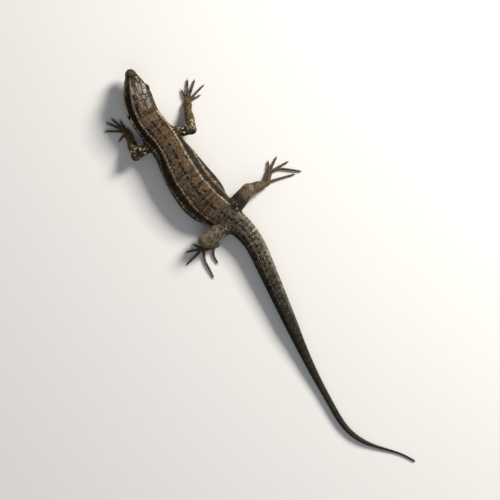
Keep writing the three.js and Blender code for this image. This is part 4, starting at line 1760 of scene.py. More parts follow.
@dataclass
class BodyCoat:
    """What every coat of the body needs: form, field, colours and the limbs it gives way to."""

    form: BodyForm
    field_: SkinField
    markings: Markings
    maker: ScaleMaker
    ARC_SAMPLES = 181
    BURIED = 0.45
    CLEAR_START = 0.7
    ROW_SHADE = 0.2
    WANDER = 0.05
    SIZE_SPREAD = 0.06
    # The least value and the spread above it, of heights and of shades.
    HEIGHTS = (0.9, 0.2)
    SHADES = (0.76, 0.48)

    def half_ring(self, d: float) -> tuple[Array, Array, Array]:
        """Gives one half of the body's section at d, from the back's middle to the belly's.

        Args:
            d: distance along the spine.

        Returns:
            The distances walked from the back's middle, out and the heights.
        """
        angle = np.linspace(np.pi / 2, -np.pi / 2, self.ARC_SAMPLES)
        out, height = self.form.ring(np.full(angle.shape, d), angle)
        return walked_along(np.hypot(np.diff(out), np.diff(height))), out, height

    def staggered(self, number: int, d: float, end: float, girth: float, *sizes: float) -> list[tuple]:
        """Gives both halves of a row, which starts half a step on in every other row.

        Args:
            number: the row's number.
            d: distance from the snout.
            end: where the row stops, walked from the back's middle.
            girth: about how wide its scales are.
            *sizes: their length and height.

        Returns:
            Two rows for the method scales.
        """
        count = max(4, round(end / girth))
        step = end / count
        shift = 0.5 * (number % 2)
        walked = (np.arange(count) + shift) * step
        length, height = sizes
        halves = ((1, walked), (-1, walked if shift else walked[1:]))
        return [(d, side, places, length, step, height) for side, places in halves]

    def scales(self, rows: list[tuple], random: Random) -> ScaleSet:
        """Makes a set of scales from rows, and drops those that a limb covers.

        Args:
            rows: for each row (d, side, walked, length, width, height), where walked lists the
                scales' distances from the back's middle and the sizes are numbers or lists.
            random: source of small differences.

        Returns:
            The scales.
        """
        table = []
        shades = {}
        for d, side, walked, *sizes in rows:
            arc, out, level = self.half_ring(d)
            shade = shades.setdefault(d, random.normal(1, self.ROW_SHADE))
            out, level = side * np.interp(walked, arc, out), np.interp(walked, arc, level)
            turn = side * np.asarray(walked) / arc[-1] / 2
            table.append(np.stack(np.broadcast_arrays(shade, d, out, level, turn, *sizes)))
        shade, d, out, level, turn, length, width, height = np.concatenate(table, 1)
        wander = random.normal(0, 1, (len(d), 2)) * self.WANDER
        d = np.clip(d + wander[:, 0] * length, 0, self.form.LENGTH)
        start = self.form.point(d, out, level)
        tailward, left, back = self.form.axes(d)
        away = unit(left * out[:, None] + back * (level - self.form.widest(d))[:, None])
        centres, _ = self.field_.press(start + away * self.CLEAR_START, -away)
        centres += left * (wander[:, 1] * width)[:, None]
        size = 1 + random.normal(0, 1, len(d)) * self.SIZE_SPREAD
        height = height * (self.HEIGHTS[0] + self.HEIGHTS[1] * random.random(len(d)))
        shade = shade * (self.SHADES[0] + self.SHADES[1] * random.random(len(d)))
        colours = self.markings.body(centres) * shade[:, None]
        roots = Unwrap.body(d, turn)
        found = ScaleSet(centres, tailward, length * size, width * size, height, colours, roots)
        return found.kept(self.is_bare(centres, start))

    def is_bare(self, centres: Array, start: Array) -> Array:
        """Tells which places belong to the body and aren't covered by a limb.

        Args:
            centres: places on the skin, as (n, 3).
            start: where they lay before they settled there.

        Returns:
            The mask.
        """
        keep = np.linalg.norm(centres - start, axis=1) < self.BURIED
        own = self.form.value_at(centres)
        for limb in self.field_.limbs:
            low, high = limb.box(0.5)
            index = np.flatnonzero(((centres > low) & (centres < high)).all(1) & keep)
            stems = [stem.value(centres[index]) for stem in (*limb.stems, *limb.toes)]
            keep[index[np.min(stems, 0) < own[index]]] = False
        return keep


@dataclass
class TrunkScales(BodyCoat):
    """Rows of small domed scales on neck, back and flanks, and on the throat."""

    LENGTHS = {"neck_scales": (15.2, 29.7), "back_scales": (29.7, 43), "loin_scales": (43, 60.8)}
    pitch = Track((14, 0.43), (24, 0.52), (34, 0.61), (50, 0.63), (60, 0.62))
    girth_pitch = Track((14, 0.38), (24, 0.4), (34, 0.42), (50, 0.43), (60, 0.46))
    height = Track((14, 0.09), (24, 0.1), (50, 0.11), (60, 0.1))
    SHAPE = ScaleShape(sides=9, squareness=2.3, keel=0.12, tilt=0.3, painted_shade_and_highlight=0.65)

    def build(self, random: Random, first: float, last: float) -> MeshParts:
        """Lays the rows between two distances from the snout.

        Args:
            random: source of small differences.
            first: where the rows start.
            last: where they end.

        Returns:
            The scales' mesh.
        """
        rows = []
        for number, d in enumerate(row_places(first, last, self.pitch)):
            end = self.half_ring(d)[0][-1] - BellyPlates.reach(d)
            sizes = (float(self.pitch(d)) * 1.12, float(self.height(d)))
            rows += self.staggered(number, d, end, float(self.girth_pitch(d)), *sizes)
        return self.maker.make(self.scales(rows, random), self.SHAPE)


@dataclass
class BellyPlates(BodyCoat):
    """Six rows of broad plates under the body, with the collar ahead and the vent behind."""

    FIRST = 22.4
    LAST = 56.4
    PITCH = 1.12
    COLLAR_AT = 21.4
    COLLAR_HALF = 3.2
    VENT_AT = 57.6
    THICKNESS = 0.08
    half = Track((20.6, 0), (21.4, 3.3), (26, 3.9), (34, 4.9), (46, 5.1), (52, 4.0), (57, 2.6), (58.4, 0))
    SHAPE = ScaleShape(
        sides=16, squareness=5, rings=((1.0, -0.5), (0.97, 0.5), (0.86, 0.95), (0.5, 1.0)),
        tilt=0.25, painted_shade_and_highlight=0.1,
    )

    @classmethod
    def reach(cls, d: float) -> float:
        """Gives how far the plates reach from the belly's middle at d."""
        return float(cls.half(d)) if 20.6 < d < 58.4 else 0.0

    def build(self, random: Random) -> MeshParts:
        """Lays the plates in rows, three to a side, then the collar's and the vent's.

        Args:
            random: source of small differences.

        Returns:
            The plates' mesh.
        """
        rows = []
        for d in np.arange(self.FIRST, self.LAST, self.PITCH):
            rows += self.row(float(d), 3, self.reach(float(d)), self.PITCH)
        rows += self.row(self.COLLAR_AT, 5, self.COLLAR_HALF, 1.0)
        rows += self.row(self.VENT_AT, 1, 1.7, 1.3)
        return self.maker.make(self.scales(rows, random), self.SHAPE)

    def row(self, d: float, count: int, reach: float, pitch: float) -> list[tuple]:
        """Gives one row of plates on both sides.

        Args:
            d: distance from the snout.
            count: plates on each side.
            reach: how far they reach from the belly's middle.
            pitch: distance to the next row.

        Returns:
            Two rows for the method scales.
        """
        arc, _, _ = self.half_ring(d)
        step = reach / count
        walked = arc[-1] - (np.arange(count) + 0.5) * step
        return [(d, side, walked, pitch * 1.03, step * 0.97, self.THICKNESS) for side in (1, -1)]


@dataclass
class TailScales(BodyCoat):
    """Rings of long keeled scales from the root of the tail to its tip."""

    LENGTHS = {"tail_scales_fore": (60.8, 92), "tail_scales_end": (92, 156.2)}
    pitch = Track((60, 0.6), (68, 0.72), (90, 0.76), (120, 0.76), (145, 0.68), (156, 0.5))
    girth_pitch = Track((60, 0.48), (68, 0.54), (84, 0.52), (110, 0.44), (140, 0.36), (156, 0.3))
    height = Track((60, 0.12), (68, 0.14), (90, 0.13), (120, 0.1), (140, 0.07), (156, 0.04))
    SHAPE = ScaleShape(
        sides=12, squareness=4, keel=0.75, tilt=0.55, point=0.12, painted_shade_and_highlight=0.9,
        rings=((1.0, -0.4), (0.96, 0.25), (0.8, 0.62), (0.4, 0.9)),
    )

    def build(self, random: Random, first: float, last: float) -> MeshParts:
        """Lays the rings between two distances, with their scales in columns along the tail.

        Args:
            random: source of small differences.
            first: where the rings start.
            last: where they end.

        Returns:
            The scales' mesh.
        """
        rows = []
        for d in row_places(first, last, self.pitch):
            arc, _, _ = self.half_ring(d)
            count = max(3, round(arc[-1] / float(self.girth_pitch(d))))
            step = arc[-1] / count
            walked = (np.arange(count) + 0.5) * step
            sizes = (float(self.pitch(d)) * 1.16, step * 0.97, float(self.height(d)))
            rows += [(d, side, walked, *sizes) for side in (1, -1)]
        return self.maker.make(self.scales(rows, random), self.SHAPE)


# ---------------- scales of the limbs


@dataclass
class LimbScales:
    """Rows of scales round each limb, and rings of small plates round its digits."""

    form: BodyForm
    field_: SkinField
    markings: Markings
    maker: ScaleMaker
    PITCH = 0.44
    GIRTH_PITCH = 0.42
    HEIGHT = 0.075
    DIGIT_PITCH = 0.46
    DIGIT_HEIGHT = 0.05
    CAP_TURN = 1.45
    BURIED = 0.4
    WANDER = 0.02
    SIZE_SPREAD = 0.05
    # The least value and the spread above it, of heights and of shades.
    HEIGHTS = (0.9, 0.2)
    SHADES = (0.88, 0.24)
    SHAPE = ScaleShape(sides=9, squareness=2.5, keel=0.15, tilt=0.35, painted_shade_and_highlight=0.22)
    DIGIT_SHAPE = ScaleShape(sides=8, squareness=3, tilt=0.3, painted_shade_and_highlight=0.2)
    # Scales round a digit, as (angle up from its side in degrees, width over its radius).
    DIGIT_RING = ((90, 1.5), (22, 0.95), (158, 0.95), (-35, 0.9), (-145, 0.9), (-90, 0.9))

    def build(self, number: int, random: Random) -> MeshParts:
        """Makes all scales of one limb.

        Args:
            number: the limb's number.
            random: source of small differences.

        Returns:
            The joined mesh parts.
        """
        limb = self.field_.limbs[number]
        parts = []
        for k, stem in enumerate((*limb.stems, *limb.toes)):
            is_digit = k >= len(limb.stems)
            rows = self.digit_rows(stem) if is_digit else self.piece_rows(stem)
            scales = self.scales(number, k, rows, random)
            parts.append(self.maker.make(scales, self.DIGIT_SHAPE if is_digit else self.SHAPE))
        return MeshParts.joined(parts)

    def piece_rows(self, stem: Stem) -> list[tuple]:
        """Gives rows (along, angles, width, length, height) round a straight piece.

        Args:
            stem: the piece.

        Returns:
            The rows in order.
        """
        rows = []
        start, end = stem.radii[0], stem.radii[-1]
        first = -start * np.sin(np.arange(self.PITCH / start, self.CAP_TURN, self.PITCH / start))
        last = stem.length + end * np.sin(np.arange(0, self.CAP_TURN, self.PITCH / end))
        steps = max(1, round(stem.length / self.PITCH))
        places = [*first[::-1], *(np.arange(steps) * stem.length / steps), *last]
        for number, along in enumerate(places):
            radius = float(stem.place(np.array([along]))[4][0])
            girth = 2 * np.pi * radius * (1 + stem.flatness) / 2
            count = max(4, round(girth / self.GIRTH_PITCH))
            angles = 2 * np.pi * (np.arange(count) + 0.5 * (number % 2)) / count
            rows.append((along, angles, girth / count, self.PITCH * 1.15, self.HEIGHT))
        return rows

    def digit_rows(self, stem: Stem) -> list[tuple]:
        """Gives rows (along, angles, width, length, height) round a digit.

        Args:
            stem: the digit.

        Returns:
            The rows in order.
        """
        rows = []
        for along in np.arange(0.3, stem.length, self.DIGIT_PITCH):
            radius = float(stem.place(np.array([along]))[4][0])
            angles = np.radians([angle for angle, _ in self.DIGIT_RING])
            widths = radius * np.array([width for _, width in self.DIGIT_RING])
            rows.append((along, angles, widths, self.DIGIT_PITCH * 1.15, self.DIGIT_HEIGHT))
        return rows

    def scales(self, number: int, piece: int, rows: list[tuple], random: Random) -> ScaleSet:
        """Settles the rows of one stem on the skin and drops those that another part covers.

        Args:
            number: the limb's number.
            piece: the stem's number within the limb.
            rows: from piece_rows or digit_rows.
            random: source of small differences.

        Returns:
            The scales.
        """
        limb = self.field_.limbs[number]
        stems = [*limb.stems, *limb.toes]
        stem = stems[piece]
        table = [np.stack(np.broadcast_arrays(*row)) for row in rows]
        along, angle, width, length, height = np.concatenate(table, 1)
        along = along + random.normal(0, self.WANDER, len(along))
        centre, aim, across, over, radius = stem.place(along)
        ring = across * np.cos(angle)[:, None] + over * (np.sin(angle) * stem.flatness)[:, None]
        start = centre + ring * radius[:, None]
        centres, facing = self.field_.settle(start)
        share = along / stem.length
        shade = self.SHADES[0] + self.SHADES[1] * random.random(len(along))
        colours = self.markings.limb(limb, min(piece, 3), share, facing[:, 2], centres)
        size = 1 + random.normal(0, self.SIZE_SPREAD, len(along))
        height = height * (self.HEIGHTS[0] + self.HEIGHTS[1] * random.random(len(along)))
        roots = Unwrap.limb(number, piece, share, (angle / (2 * np.pi)) % 1)
        colours = colours * shade[:, None]
        found = ScaleSet(centres, aim, length * size, width * size, height, colours, roots)
        own = stem.value(centres)
        keep = np.linalg.norm(centres - start, axis=1) < self.BURIED
        for other in stems:
            if other is not stem:
                keep &= own <= other.value(centres) + 1e-4
        return found.kept(keep & (own <= self.form.value_at(centres)))


# ---------------- head


class Face(Enum):
    """The side of the head that a shield is drawn on: how it is pressed onto the skin."""

    TOP = "top"
    SIDE = "side"
    CHIN = "chin"
    FRONT = "front"


Corners = tuple[tuple[float, float], ...]


class HeadShields:
    """The large plates of the head's top, sides and chin, pressed onto the skin.

    An outline lists corners as (d, out) on the top and the chin, (d, height) on a side, and
    (out, height) on the front. The PAIRS stand on both sides. The MIDDLES cross the middle,
    and their outlines give the left half, from front to back.
    """

    GROOVE = 0.022
    TOP_GROOVE = 0.0
    THICKNESS = 0.07
    CORNER_ROUNDS = 2
    CORNER_CUT = 0.1
    CORNERS = 36
    CLEAR = 0.8
    # Rings of a shield: distance in from its edge, share of the way to its middle, height, shade.
    RINGS = (
        (0.0, 0.0, -0.6, 0.6), (0.012, 0.0, 0.35, 0.7), (0.04, 0.0, 0.8, 0.85), (0.09, 0.0, 1.0, 0.95),
        *((0.09, share, 1.0, 1.0) for share in (0.2, 0.4, 0.6, 0.8)),
    )
    MIDDLES = {
        Face.TOP: (
            ((1.75, 0), (1.85, 0.6), (2.45, 1.1), (3.05, 0.7), (3.25, 0)),
            ((4.4, 0), (4.75, 0.6), (5.4, 0.98), (7.2, 0.85), (8.9, 0.55), (9.25, 0)),
            ((10.62, 0), (10.92, 0.42), (11.6, 0.46), (12.4, 0.26), (12.45, 0)),
            ((12.5, 0), (12.55, 0.3), (13.3, 0.52), (13.9, 0.45), (13.95, 0)),
        ),
        Face.FRONT: (
            ((0, 5.3), (0.5, 5.15), (0.95, 4.75), (1.0, 4.15), (0, 4.1)),
            ((0, 3.95), (0.85, 3.98), (0.8, 3.6), (0, 3.5)),
        ),
        Face.CHIN: (((0.9, 0), (0.95, 0.62), (1.9, 0.8), (2.3, 0)),),
    }
    PAIRS = {
        Face.TOP: (
            ((0.7, 0.0), (0.75, 0.65), (1.35, 1.05), (1.75, 0.75), (1.68, 0.0)),
            ((3.3, 0), (3.15, 0.72), (2.6, 1.15), (3.2, 1.7), (4.7, 1.75), (4.6, 0.6), (4.35, 0)),
            ((4.75, 1.1), (4.5, 1.9), (5.3, 2.25), (5.35, 1.08)),
            ((5.4, 1.06), (5.36, 2.3), (6.2, 2.62), (7.15, 2.78), (7.2, 0.92)),
            ((7.28, 0.9), (7.23, 2.8), (8.2, 2.9), (9.1, 2.8), (9.25, 1.3), (8.95, 0.62)),
            ((9.35, 1.35), (9.2, 2.8), (9.9, 2.75), (10.0, 1.75)),
            ((9.3, 0), (9.0, 0.55), (9.3, 1.25), (10.1, 1.72), (10.8, 1.6), (10.9, 0.5), (10.6, 0)),
            (
                (10.95, 0.5), (10.85, 1.65), (10.15, 1.8), (10.0, 2.75), (11.2, 3.15), (13, 3.2),
                (14.3, 2.7), (14.7, 1.8), (14.2, 0.6), (13.3, 0.56), (12.5, 0.34), (11.6, 0.5),
            ),
        ),
        Face.SIDE: (
            ((0.5, 4.9), (0.75, 5.6), (1.2, 5.95), (1.85, 6.15), (1.9, 4.92)),
            ((1.95, 4.92), (1.92, 6.2), (2.5, 6.4), (2.55, 4.92)),
            ((2.6, 4.92), (2.56, 6.45), (3.5, 6.75), (3.55, 4.92)),
            ((3.6, 4.92), (3.56, 6.75), (4.6, 6.9), (5.3, 6.5), (5.45, 5.4), (5.3, 4.9)),
            ((5.46, 4.98), (5.5, 5.45), (5.8, 5.48), (6.02, 5.25), (5.98, 4.98)),
            ((11.1, 5.9), (11.3, 6.4), (11.9, 6.6), (12.5, 6.4), (12.7, 5.9), (12.4, 5.4), (11.5, 5.35)),
            ((13.1, 5.0), (13.05, 5.9), (13.4, 6.1), (13.65, 5.8), (13.6, 5.2)),
            ((10.1, 6.95), (10.1, 7.35), (11.6, 7.5), (11.7, 6.95)),
            ((11.8, 6.95), (11.75, 7.5), (13.2, 7.4), (13.2, 6.95)),
        ),
        Face.CHIN: (
            ((2.3, 0.04), (1.95, 0.82), (3.3, 1.2), (3.6, 0.04)),
            ((3.7, 0.04), (3.4, 1.25), (5.0, 1.75), (5.4, 0.04)),
            ((5.5, 0.04), (5.1, 1.8), (7.0, 2.35), (7.4, 0.9), (6.9, 0.1)),
            ((7.1, 2.3), (7.5, 1.0), (8.9, 1.5), (9.2, 2.6), (8.5, 2.8)),
            ((9.3, 2.6), (9.1, 1.7), (10.6, 2.3), (10.9, 3.1), (10.2, 3.2)),
        ),
    }
    # The small shields above an eye, by start and inner edge.
    BROWS = ((5.1, 2.42), (5.85, 2.72), (6.6, 2.88), (7.35, 2.95), (8.1, 2.98), (8.85, 2.92))
    BROW_SIZE = (0.66, 0.34)
    UPPER_LIPS = (0.62, 1.75, 2.95, 4.25, 5.75, 8.5, 10.1, 11.6)
    UPPER_LIP_TOPS = (4.85, 4.86, 4.86, 4.86, 4.76, 4.8, 4.75)
    LOWER_LIPS = (0.62, 1.9, 3.4, 5.2, 7.2, 9.3, 11.3)
    LOWER_LIP_DEPTH = 0.78
    LIP_GAP = 0.07

    def __init__(self, head: HeadForm, field_: SkinField, markings: Markings) -> None:
        """Keeps the head's form, the field and the colours.

        Args:
            head: the head's form.
            field_: the skin's field.
            markings: the colours.
        """
        self.head = head
        self.form = head.form
        self.field_ = field_
        self.markings = markings

    def brows(self) -> list[Corners]:
        """Gives the outlines of the small shields above an eye.

        Returns:
            One outline for each shield.
        """
        long, broad = self.BROW_SIZE
        return [
            ((at, low), (at, low + broad), (at + long, low + broad), (at + long, low))
            for at, low in self.BROWS
        ]

    def lips(self) -> list[Corners]:
        """Gives the outlines along both lips, which leave the mouth's line open.

        Returns:
            The upper lip's outlines, then the lower lip's.
        """
        upper = []
        for start, end, top in zip(self.UPPER_LIPS, self.UPPER_LIPS[1:], self.UPPER_LIP_TOPS):
            low = [self.head.mouth_level(d) + self.LIP_GAP for d in (start, end)]
            upper.append(((start, low[0]), (start, top), (end, top), (end, low[1])))
        lower = []
        for start, end in zip(self.LOWER_LIPS, self.LOWER_LIPS[1:]):
            high = [self.head.mouth_level(d) - self.LIP_GAP for d in (start, end)]
            low = [level - self.LOWER_LIP_DEPTH for level in high]
            lower.append(((start, low[0]), (start, high[0]), (end, high[1]), (end, low[1])))
        return upper + lower

    def rounded(self, outline: Array) -> Array:
        """Rounds an outline's corners and samples it at even steps.

        Args:
            outline: the corners in order, as (n, 2).

        Returns:
            The samples, as (n, 2).
        """
        for _ in range(self.CORNER_ROUNDS):
            after = np.roll(outline, -1, 0)
            edge = np.linalg.norm(after - outline, axis=1)
            cut = np.minimum(0.25, self.CORNER_CUT / np.maximum(edge, 1e-6))[:, None]
            corners = [outline + (after - outline) * cut, after + (outline - after) * cut]
            outline = np.stack(corners, 1).reshape(-1, 2)
        closed = np.vstack([outline, outline[:1]])
        walked = walked_along(np.linalg.norm(np.diff(closed, axis=0), axis=1))
        places = np.linspace(0, walked[-1], self.CORNERS, endpoint=False)
        return between(places, walked, closed)

    def press(self, face: Face, flat: Array, side: int) -> tuple[Array, Array]:
        """Presses places of an outline onto the skin, from clear of the head.

        Args:
            face: the side of the head.
            flat: places of the outline, as (n, 2).
            side: 1 for the left, -1 for the right.

        Returns:
            The places on the skin and the outward directions there.
        """
        first, second = flat.T
        d = first * (face is not Face.FRONT)
        tailward, left, back = self.form.axes(d)
        place = (d, side * second)
        if face is Face.FRONT:
            start, way = self.form.point(d, side * first, second) - tailward, tailward
        elif face is Face.SIDE:
            reach = self.form.half_width(d) + self.CLEAR
            start, way = self.form.point(d, side * reach, second), -side * left
        elif face is Face.TOP:
            start, way = self.form.point(*place, self.form.top(d) + self.CLEAR), -back
        else:
            start, way = self.form.point(*place, self.form.bottom(d) - self.CLEAR), back
        return self.field_.press(start, way)

    def shield(self, face: Face, corners: Corners, side: int, is_middle: bool) -> MeshParts:
        """Makes one shield on one side.

        Args:
            face: the side of the head.
            corners: its outline.
            side: 1 for the left, -1 for the right.
            is_middle: whether the outline gives the left half only.

        Returns:
            Its mesh parts.
        """
        outline = np.array(corners, float)
        across = 0 if face is Face.FRONT else 1
        if is_middle:
            inner = outline[np.abs(outline[:, across]) > 1e-6]
            inner[:, across] *= -1
            outline = np.vstack([outline, inner[::-1]])
        flat = self.rounded(outline)
        middle = flat.mean(0)
        spread = np.linalg.norm(flat - middle, axis=1, keepdims=True)
        groove = self.TOP_GROOVE if face is Face.TOP else self.GROOVE
        rings = [
            middle + (flat - middle) * np.maximum(1 - (groove + inset) / spread, 0.2) * (1 - share)
            for inset, share, _, _ in self.RINGS
        ]
        _, _, heights, shades = np.array(self.RINGS).T
        lift = np.append(np.repeat(heights, len(flat)), [1.0, heights[0]]) * self.THICKNESS
        shade = np.append(np.repeat(shades, len(flat)), [1.0, 1.0])
        places, normals = self.press(face, np.vstack([*rings, middle, middle]), side)
        quads, tris = closed_faces(len(rings), len(flat))
        turning = np.cross(places[0] - places[-1], places[1] - places[-1])
        if turning @ normals[-1] < 0:
            quads, tris = quads[:, ::-1], tris[:, ::-1]
        d, _, out, height = self.form.read(places[-1:])
        turn = np.arctan2(out, height - self.form.ROLL_LEVEL) / (2 * np.pi)
        local = (places - places[-1])[:, :2]
        roots = Unwrap.body(d, turn) + local / max(np.abs(local).max(), 1e-6) * ScaleMaker.PATCH
        colours = self.markings.body(places) * shade[:, None]
        return MeshParts(places + normals * lift[:, None], quads, tris, colours, roots)

    def build(self) -> MeshParts:
        """Makes every shield of the head.

        Returns:
            The shields' mesh.
        """
        parts = [
            self.shield(face, corners, 1, True)
            for face, outlines in self.MIDDLES.items()
            for corners in outlines
        ]
        added = {Face.TOP: self.brows(), Face.SIDE: self.lips()}
        for face, outlines in self.PAIRS.items():
            for corners in (*outlines, *added.get(face, ())):
                parts += [self.shield(face, corners, side, False) for side in (1, -1)]
        return MeshParts.joined(parts)


@dataclass
class HeadGranules(BodyCoat):
    """Small scales between the shields: temples, cheeks, throat and round the eyes."""

    head: HeadForm
    shields: BVHTree
    FIRST = 0.9
    LAST = 15.1
    PITCH = 0.36
    CLEAR = 0.13
    LID_CLEAR = 0.03
    EAR_CLEAR = 0.04
    EYE_REACH = 1.95
    LID_RINGS = (1.14, 1.3, 1.5, 1.75, 2.0, 2.25)
    LID_PITCH = 0.2
    LID_HEIGHT = 0.045
    LID_REACH = 2.3
    HEIGHT = 0.06
    BURIED = 0.9
    SHAPE = ScaleShape(sides=9, squareness=2.3, keel=0.0, tilt=0.2, painted_shade_and_highlight=0.2)

    def build(self, random: Random) -> MeshParts:
        """Lays the granules and drops those under shields, in the eyes or in the ears.

        Args:
            random: source of small differences.

        Returns:
            The granules' mesh.
        """
        rows = []
        for number, d in enumerate(np.arange(self.FIRST, self.LAST, self.PITCH)):
            end = self.half_ring(float(d))[0][-1]
            rows += self.staggered(number, float(d), end, self.PITCH, self.PITCH * 1.1, self.HEIGHT)
        scales = self.scales(rows, random)
        free = self.is_free(scales.centres, self.LID_REACH, self.CLEAR)
        parts = [self.maker.make(scales.kept(free), self.SHAPE)]
        for side in (1, -1):
            lids = self.lids(side, random)
            free = self.is_free(lids.centres, 1.1, self.LID_CLEAR)
            parts.append(self.maker.make(lids.kept(free), self.SHAPE))
        return MeshParts.joined(parts)

    def lids(self, side: int, random: Random) -> ScaleSet:
        """Lays rings of tiny granules round one eye's opening.

        Args:
            side: 1 for the left eye, -1 for the right.
            random: source of small differences.

        Returns:
            The granules.
        """
        head = self.head
        rays = []
        for number, ring in enumerate(self.LID_RINGS):
            girth = 2 * np.pi * head.LID_MIDDLE * ring * sum(head.OPENING) / 2
            count = round(girth / self.LID_PITCH)
            turn = 2 * np.pi * (np.arange(count) + 0.5 * (number % 2)) / count
            rays.append(head.rays(side, turn, ring))
        ray = np.vstack(rays)
        centres, normals = self.field_.press(head.eye_centre(side) + ray * 2.1, -ray)
        along = unit(np.cross(normals, ray + head.eye_axes(side)[0] * 0.3))
        size = self.LID_PITCH * (1 + random.normal(0, 0.08, len(ray)))
        colours = self.markings.body(centres) * (0.84 + 0.32 * random.random(len(ray)))[:, None]
        d, across, _, _ = self.form.read(centres)
        height = np.full(len(ray), self.LID_HEIGHT)
        return ScaleSet(centres, along, size, size, height, colours, Unwrap.body(d, across * 0.05))

    def is_free(self, centres: Array, lid_reach: float, clear: float) -> Array:
        """Tells which places lie clear of shields, lids, eyes and ears.

        Args:
            centres: the places.
            lid_reach: how far round each eye is kept free, as a share of its opening.
            clear: the least distance from a shield.

        Returns:
            True where a granule may stand.
        """
        gaps = np.array([self.shields.find_nearest(Vector(centre))[3] for centre in centres])
        keep = gaps > clear
        d, _, out, height = self.form.read(centres)
        hollow = self.head.ellipsoid(d, out, height, self.head.EAR, self.head.EAR_RADII)
        keep &= hollow > self.EAR_CLEAR
        for side in (1, -1):
            far, inside = self.head.opening(centres, side)
            edge = (1 - lid_reach) * self.head.OPENING[1] * self.head.LID_MIDDLE
            keep &= (inside < edge) | (far > self.EYE_REACH)
        return keep


# ---------------- eyes and lids


@dataclass
class Eyes:
    """The two eyeballs, and the rims of the lids round them."""

    head: HeadForm
    SIDES = 48
    RINGS = 40
    PUPIL = 17.0
    IRIS = 41.0
    BULGE = 0.07
    STREAKS = 40
    RIM_RADIUS = 0.085
    RIM_STEPS = 120
    RIM_SIDES = 10
    RIM_BEADS = 34

    def ball(self, side: int) -> MeshParts:
        """Makes one eyeball with its pupil, iris and bulging front.

        Args:
            side: 1 for the left, -1 for the right.

        Returns:
            Its mesh parts.
        """
        polar = np.linspace(0, 180, self.RINGS + 1)[1:-1]
        turn = 2 * np.pi * np.arange(self.SIDES) / self.SIDES
        radius = self.head.EYE_RADIUS
        swell = radius + self.BULGE * np.clip(1 - (polar / self.IRIS) ** 2, 0, 1)
        slope = np.radians(polar)
        local = np.stack([
            np.repeat(swell * np.cos(slope), self.SIDES),
            np.outer(swell * np.sin(slope), np.cos(turn)).ravel(),
            np.outer(swell * np.sin(slope), np.sin(turn)).ravel(),
        ], 1)
        local = np.vstack([local, [-radius, 0, 0], [radius + self.BULGE, 0, 0]])
        points = self.head.eye_centre(side) + local @ np.stack(self.head.eye_axes(side))
        angle = np.degrees(np.arctan2(np.hypot(local[:, 1], local[:, 2]), local[:, 0]))
        colours = self.eye_colour(angle, np.arctan2(local[:, 2], local[:, 1]))
        quads, tris = closed_faces(len(polar), self.SIDES)
        if side < 0:
            quads, tris = quads[:, ::-1], tris[:, ::-1]
        return MeshParts(points, quads, tris, colours, local[:, 1:] * 0)

    def eye_colour(self, angle: Array, around: Array) -> Array:
        """Colours the eyeball by angle from its front and turn round it.

        Args:
            angle: degrees from the eye's front.
            around: turns in radians.

        Returns:
            The colours, as (n, 3).
        """
        streak = 0.8 + 0.2 * np.cos(self.STREAKS * around) + 0.15 * np.cos(7 * around + 1)
        edge = smooth_share(angle, self.PUPIL + 8, self.IRIS)
        iris = mix(Tone.IRIS.linear * streak[:, None], Tone.IRIS_EDGE, edge)
        colours = mix(iris, Tone.PUPIL, 1 - smooth_share(angle, self.PUPIL - 1.5, self.PUPIL + 1.5))
        return mix(colours, Tone.EYE_WHITE, smooth_share(angle, self.IRIS - 2, self.IRIS + 2))

    def rim(self, side: int) -> MeshParts:
        """Makes the beaded rim that both lids form round the eye's opening.

        Args:
            side: 1 for the left eye, -1 for the right.

        Returns:
            The rim's mesh.
        """
        head = self.head
        turn = 2 * np.pi * np.arange(self.RIM_STEPS) / self.RIM_STEPS
        ray = head.rays(side, turn)
        line = head.eye_centre(side) + ray * head.LID_MIDDLE
        beside = np.cross(unit(np.roll(line, -1, 0) - np.roll(line, 1, 0)), ray)
        radius = self.RIM_RADIUS * (1 + 0.14 * np.cos(self.RIM_BEADS * turn))
        angle = 2 * np.pi * np.arange(self.RIM_SIDES) / self.RIM_SIDES
        ring = ray[:, None] * np.cos(angle)[:, None] + beside[:, None] * np.sin(angle)[:, None]
        points = (line[:, None] + ring * radius[:, None, None]).reshape(-1, 3)
        quads = ring_quads(self.RIM_STEPS, self.RIM_SIDES, True)
        shade = 1 + 0.25 * np.cos(self.RIM_BEADS * turn)
        shade = shade * (1 - 0.6 * np.maximum(np.sin(turn), 0))
        colours = np.repeat(Tone.LID.linear * shade[:, None], self.RIM_SIDES, 0)
        return MeshParts(points, quads, np.empty((0, 3), int), colours, points[:, :2] * 0)


# ---------------- claws


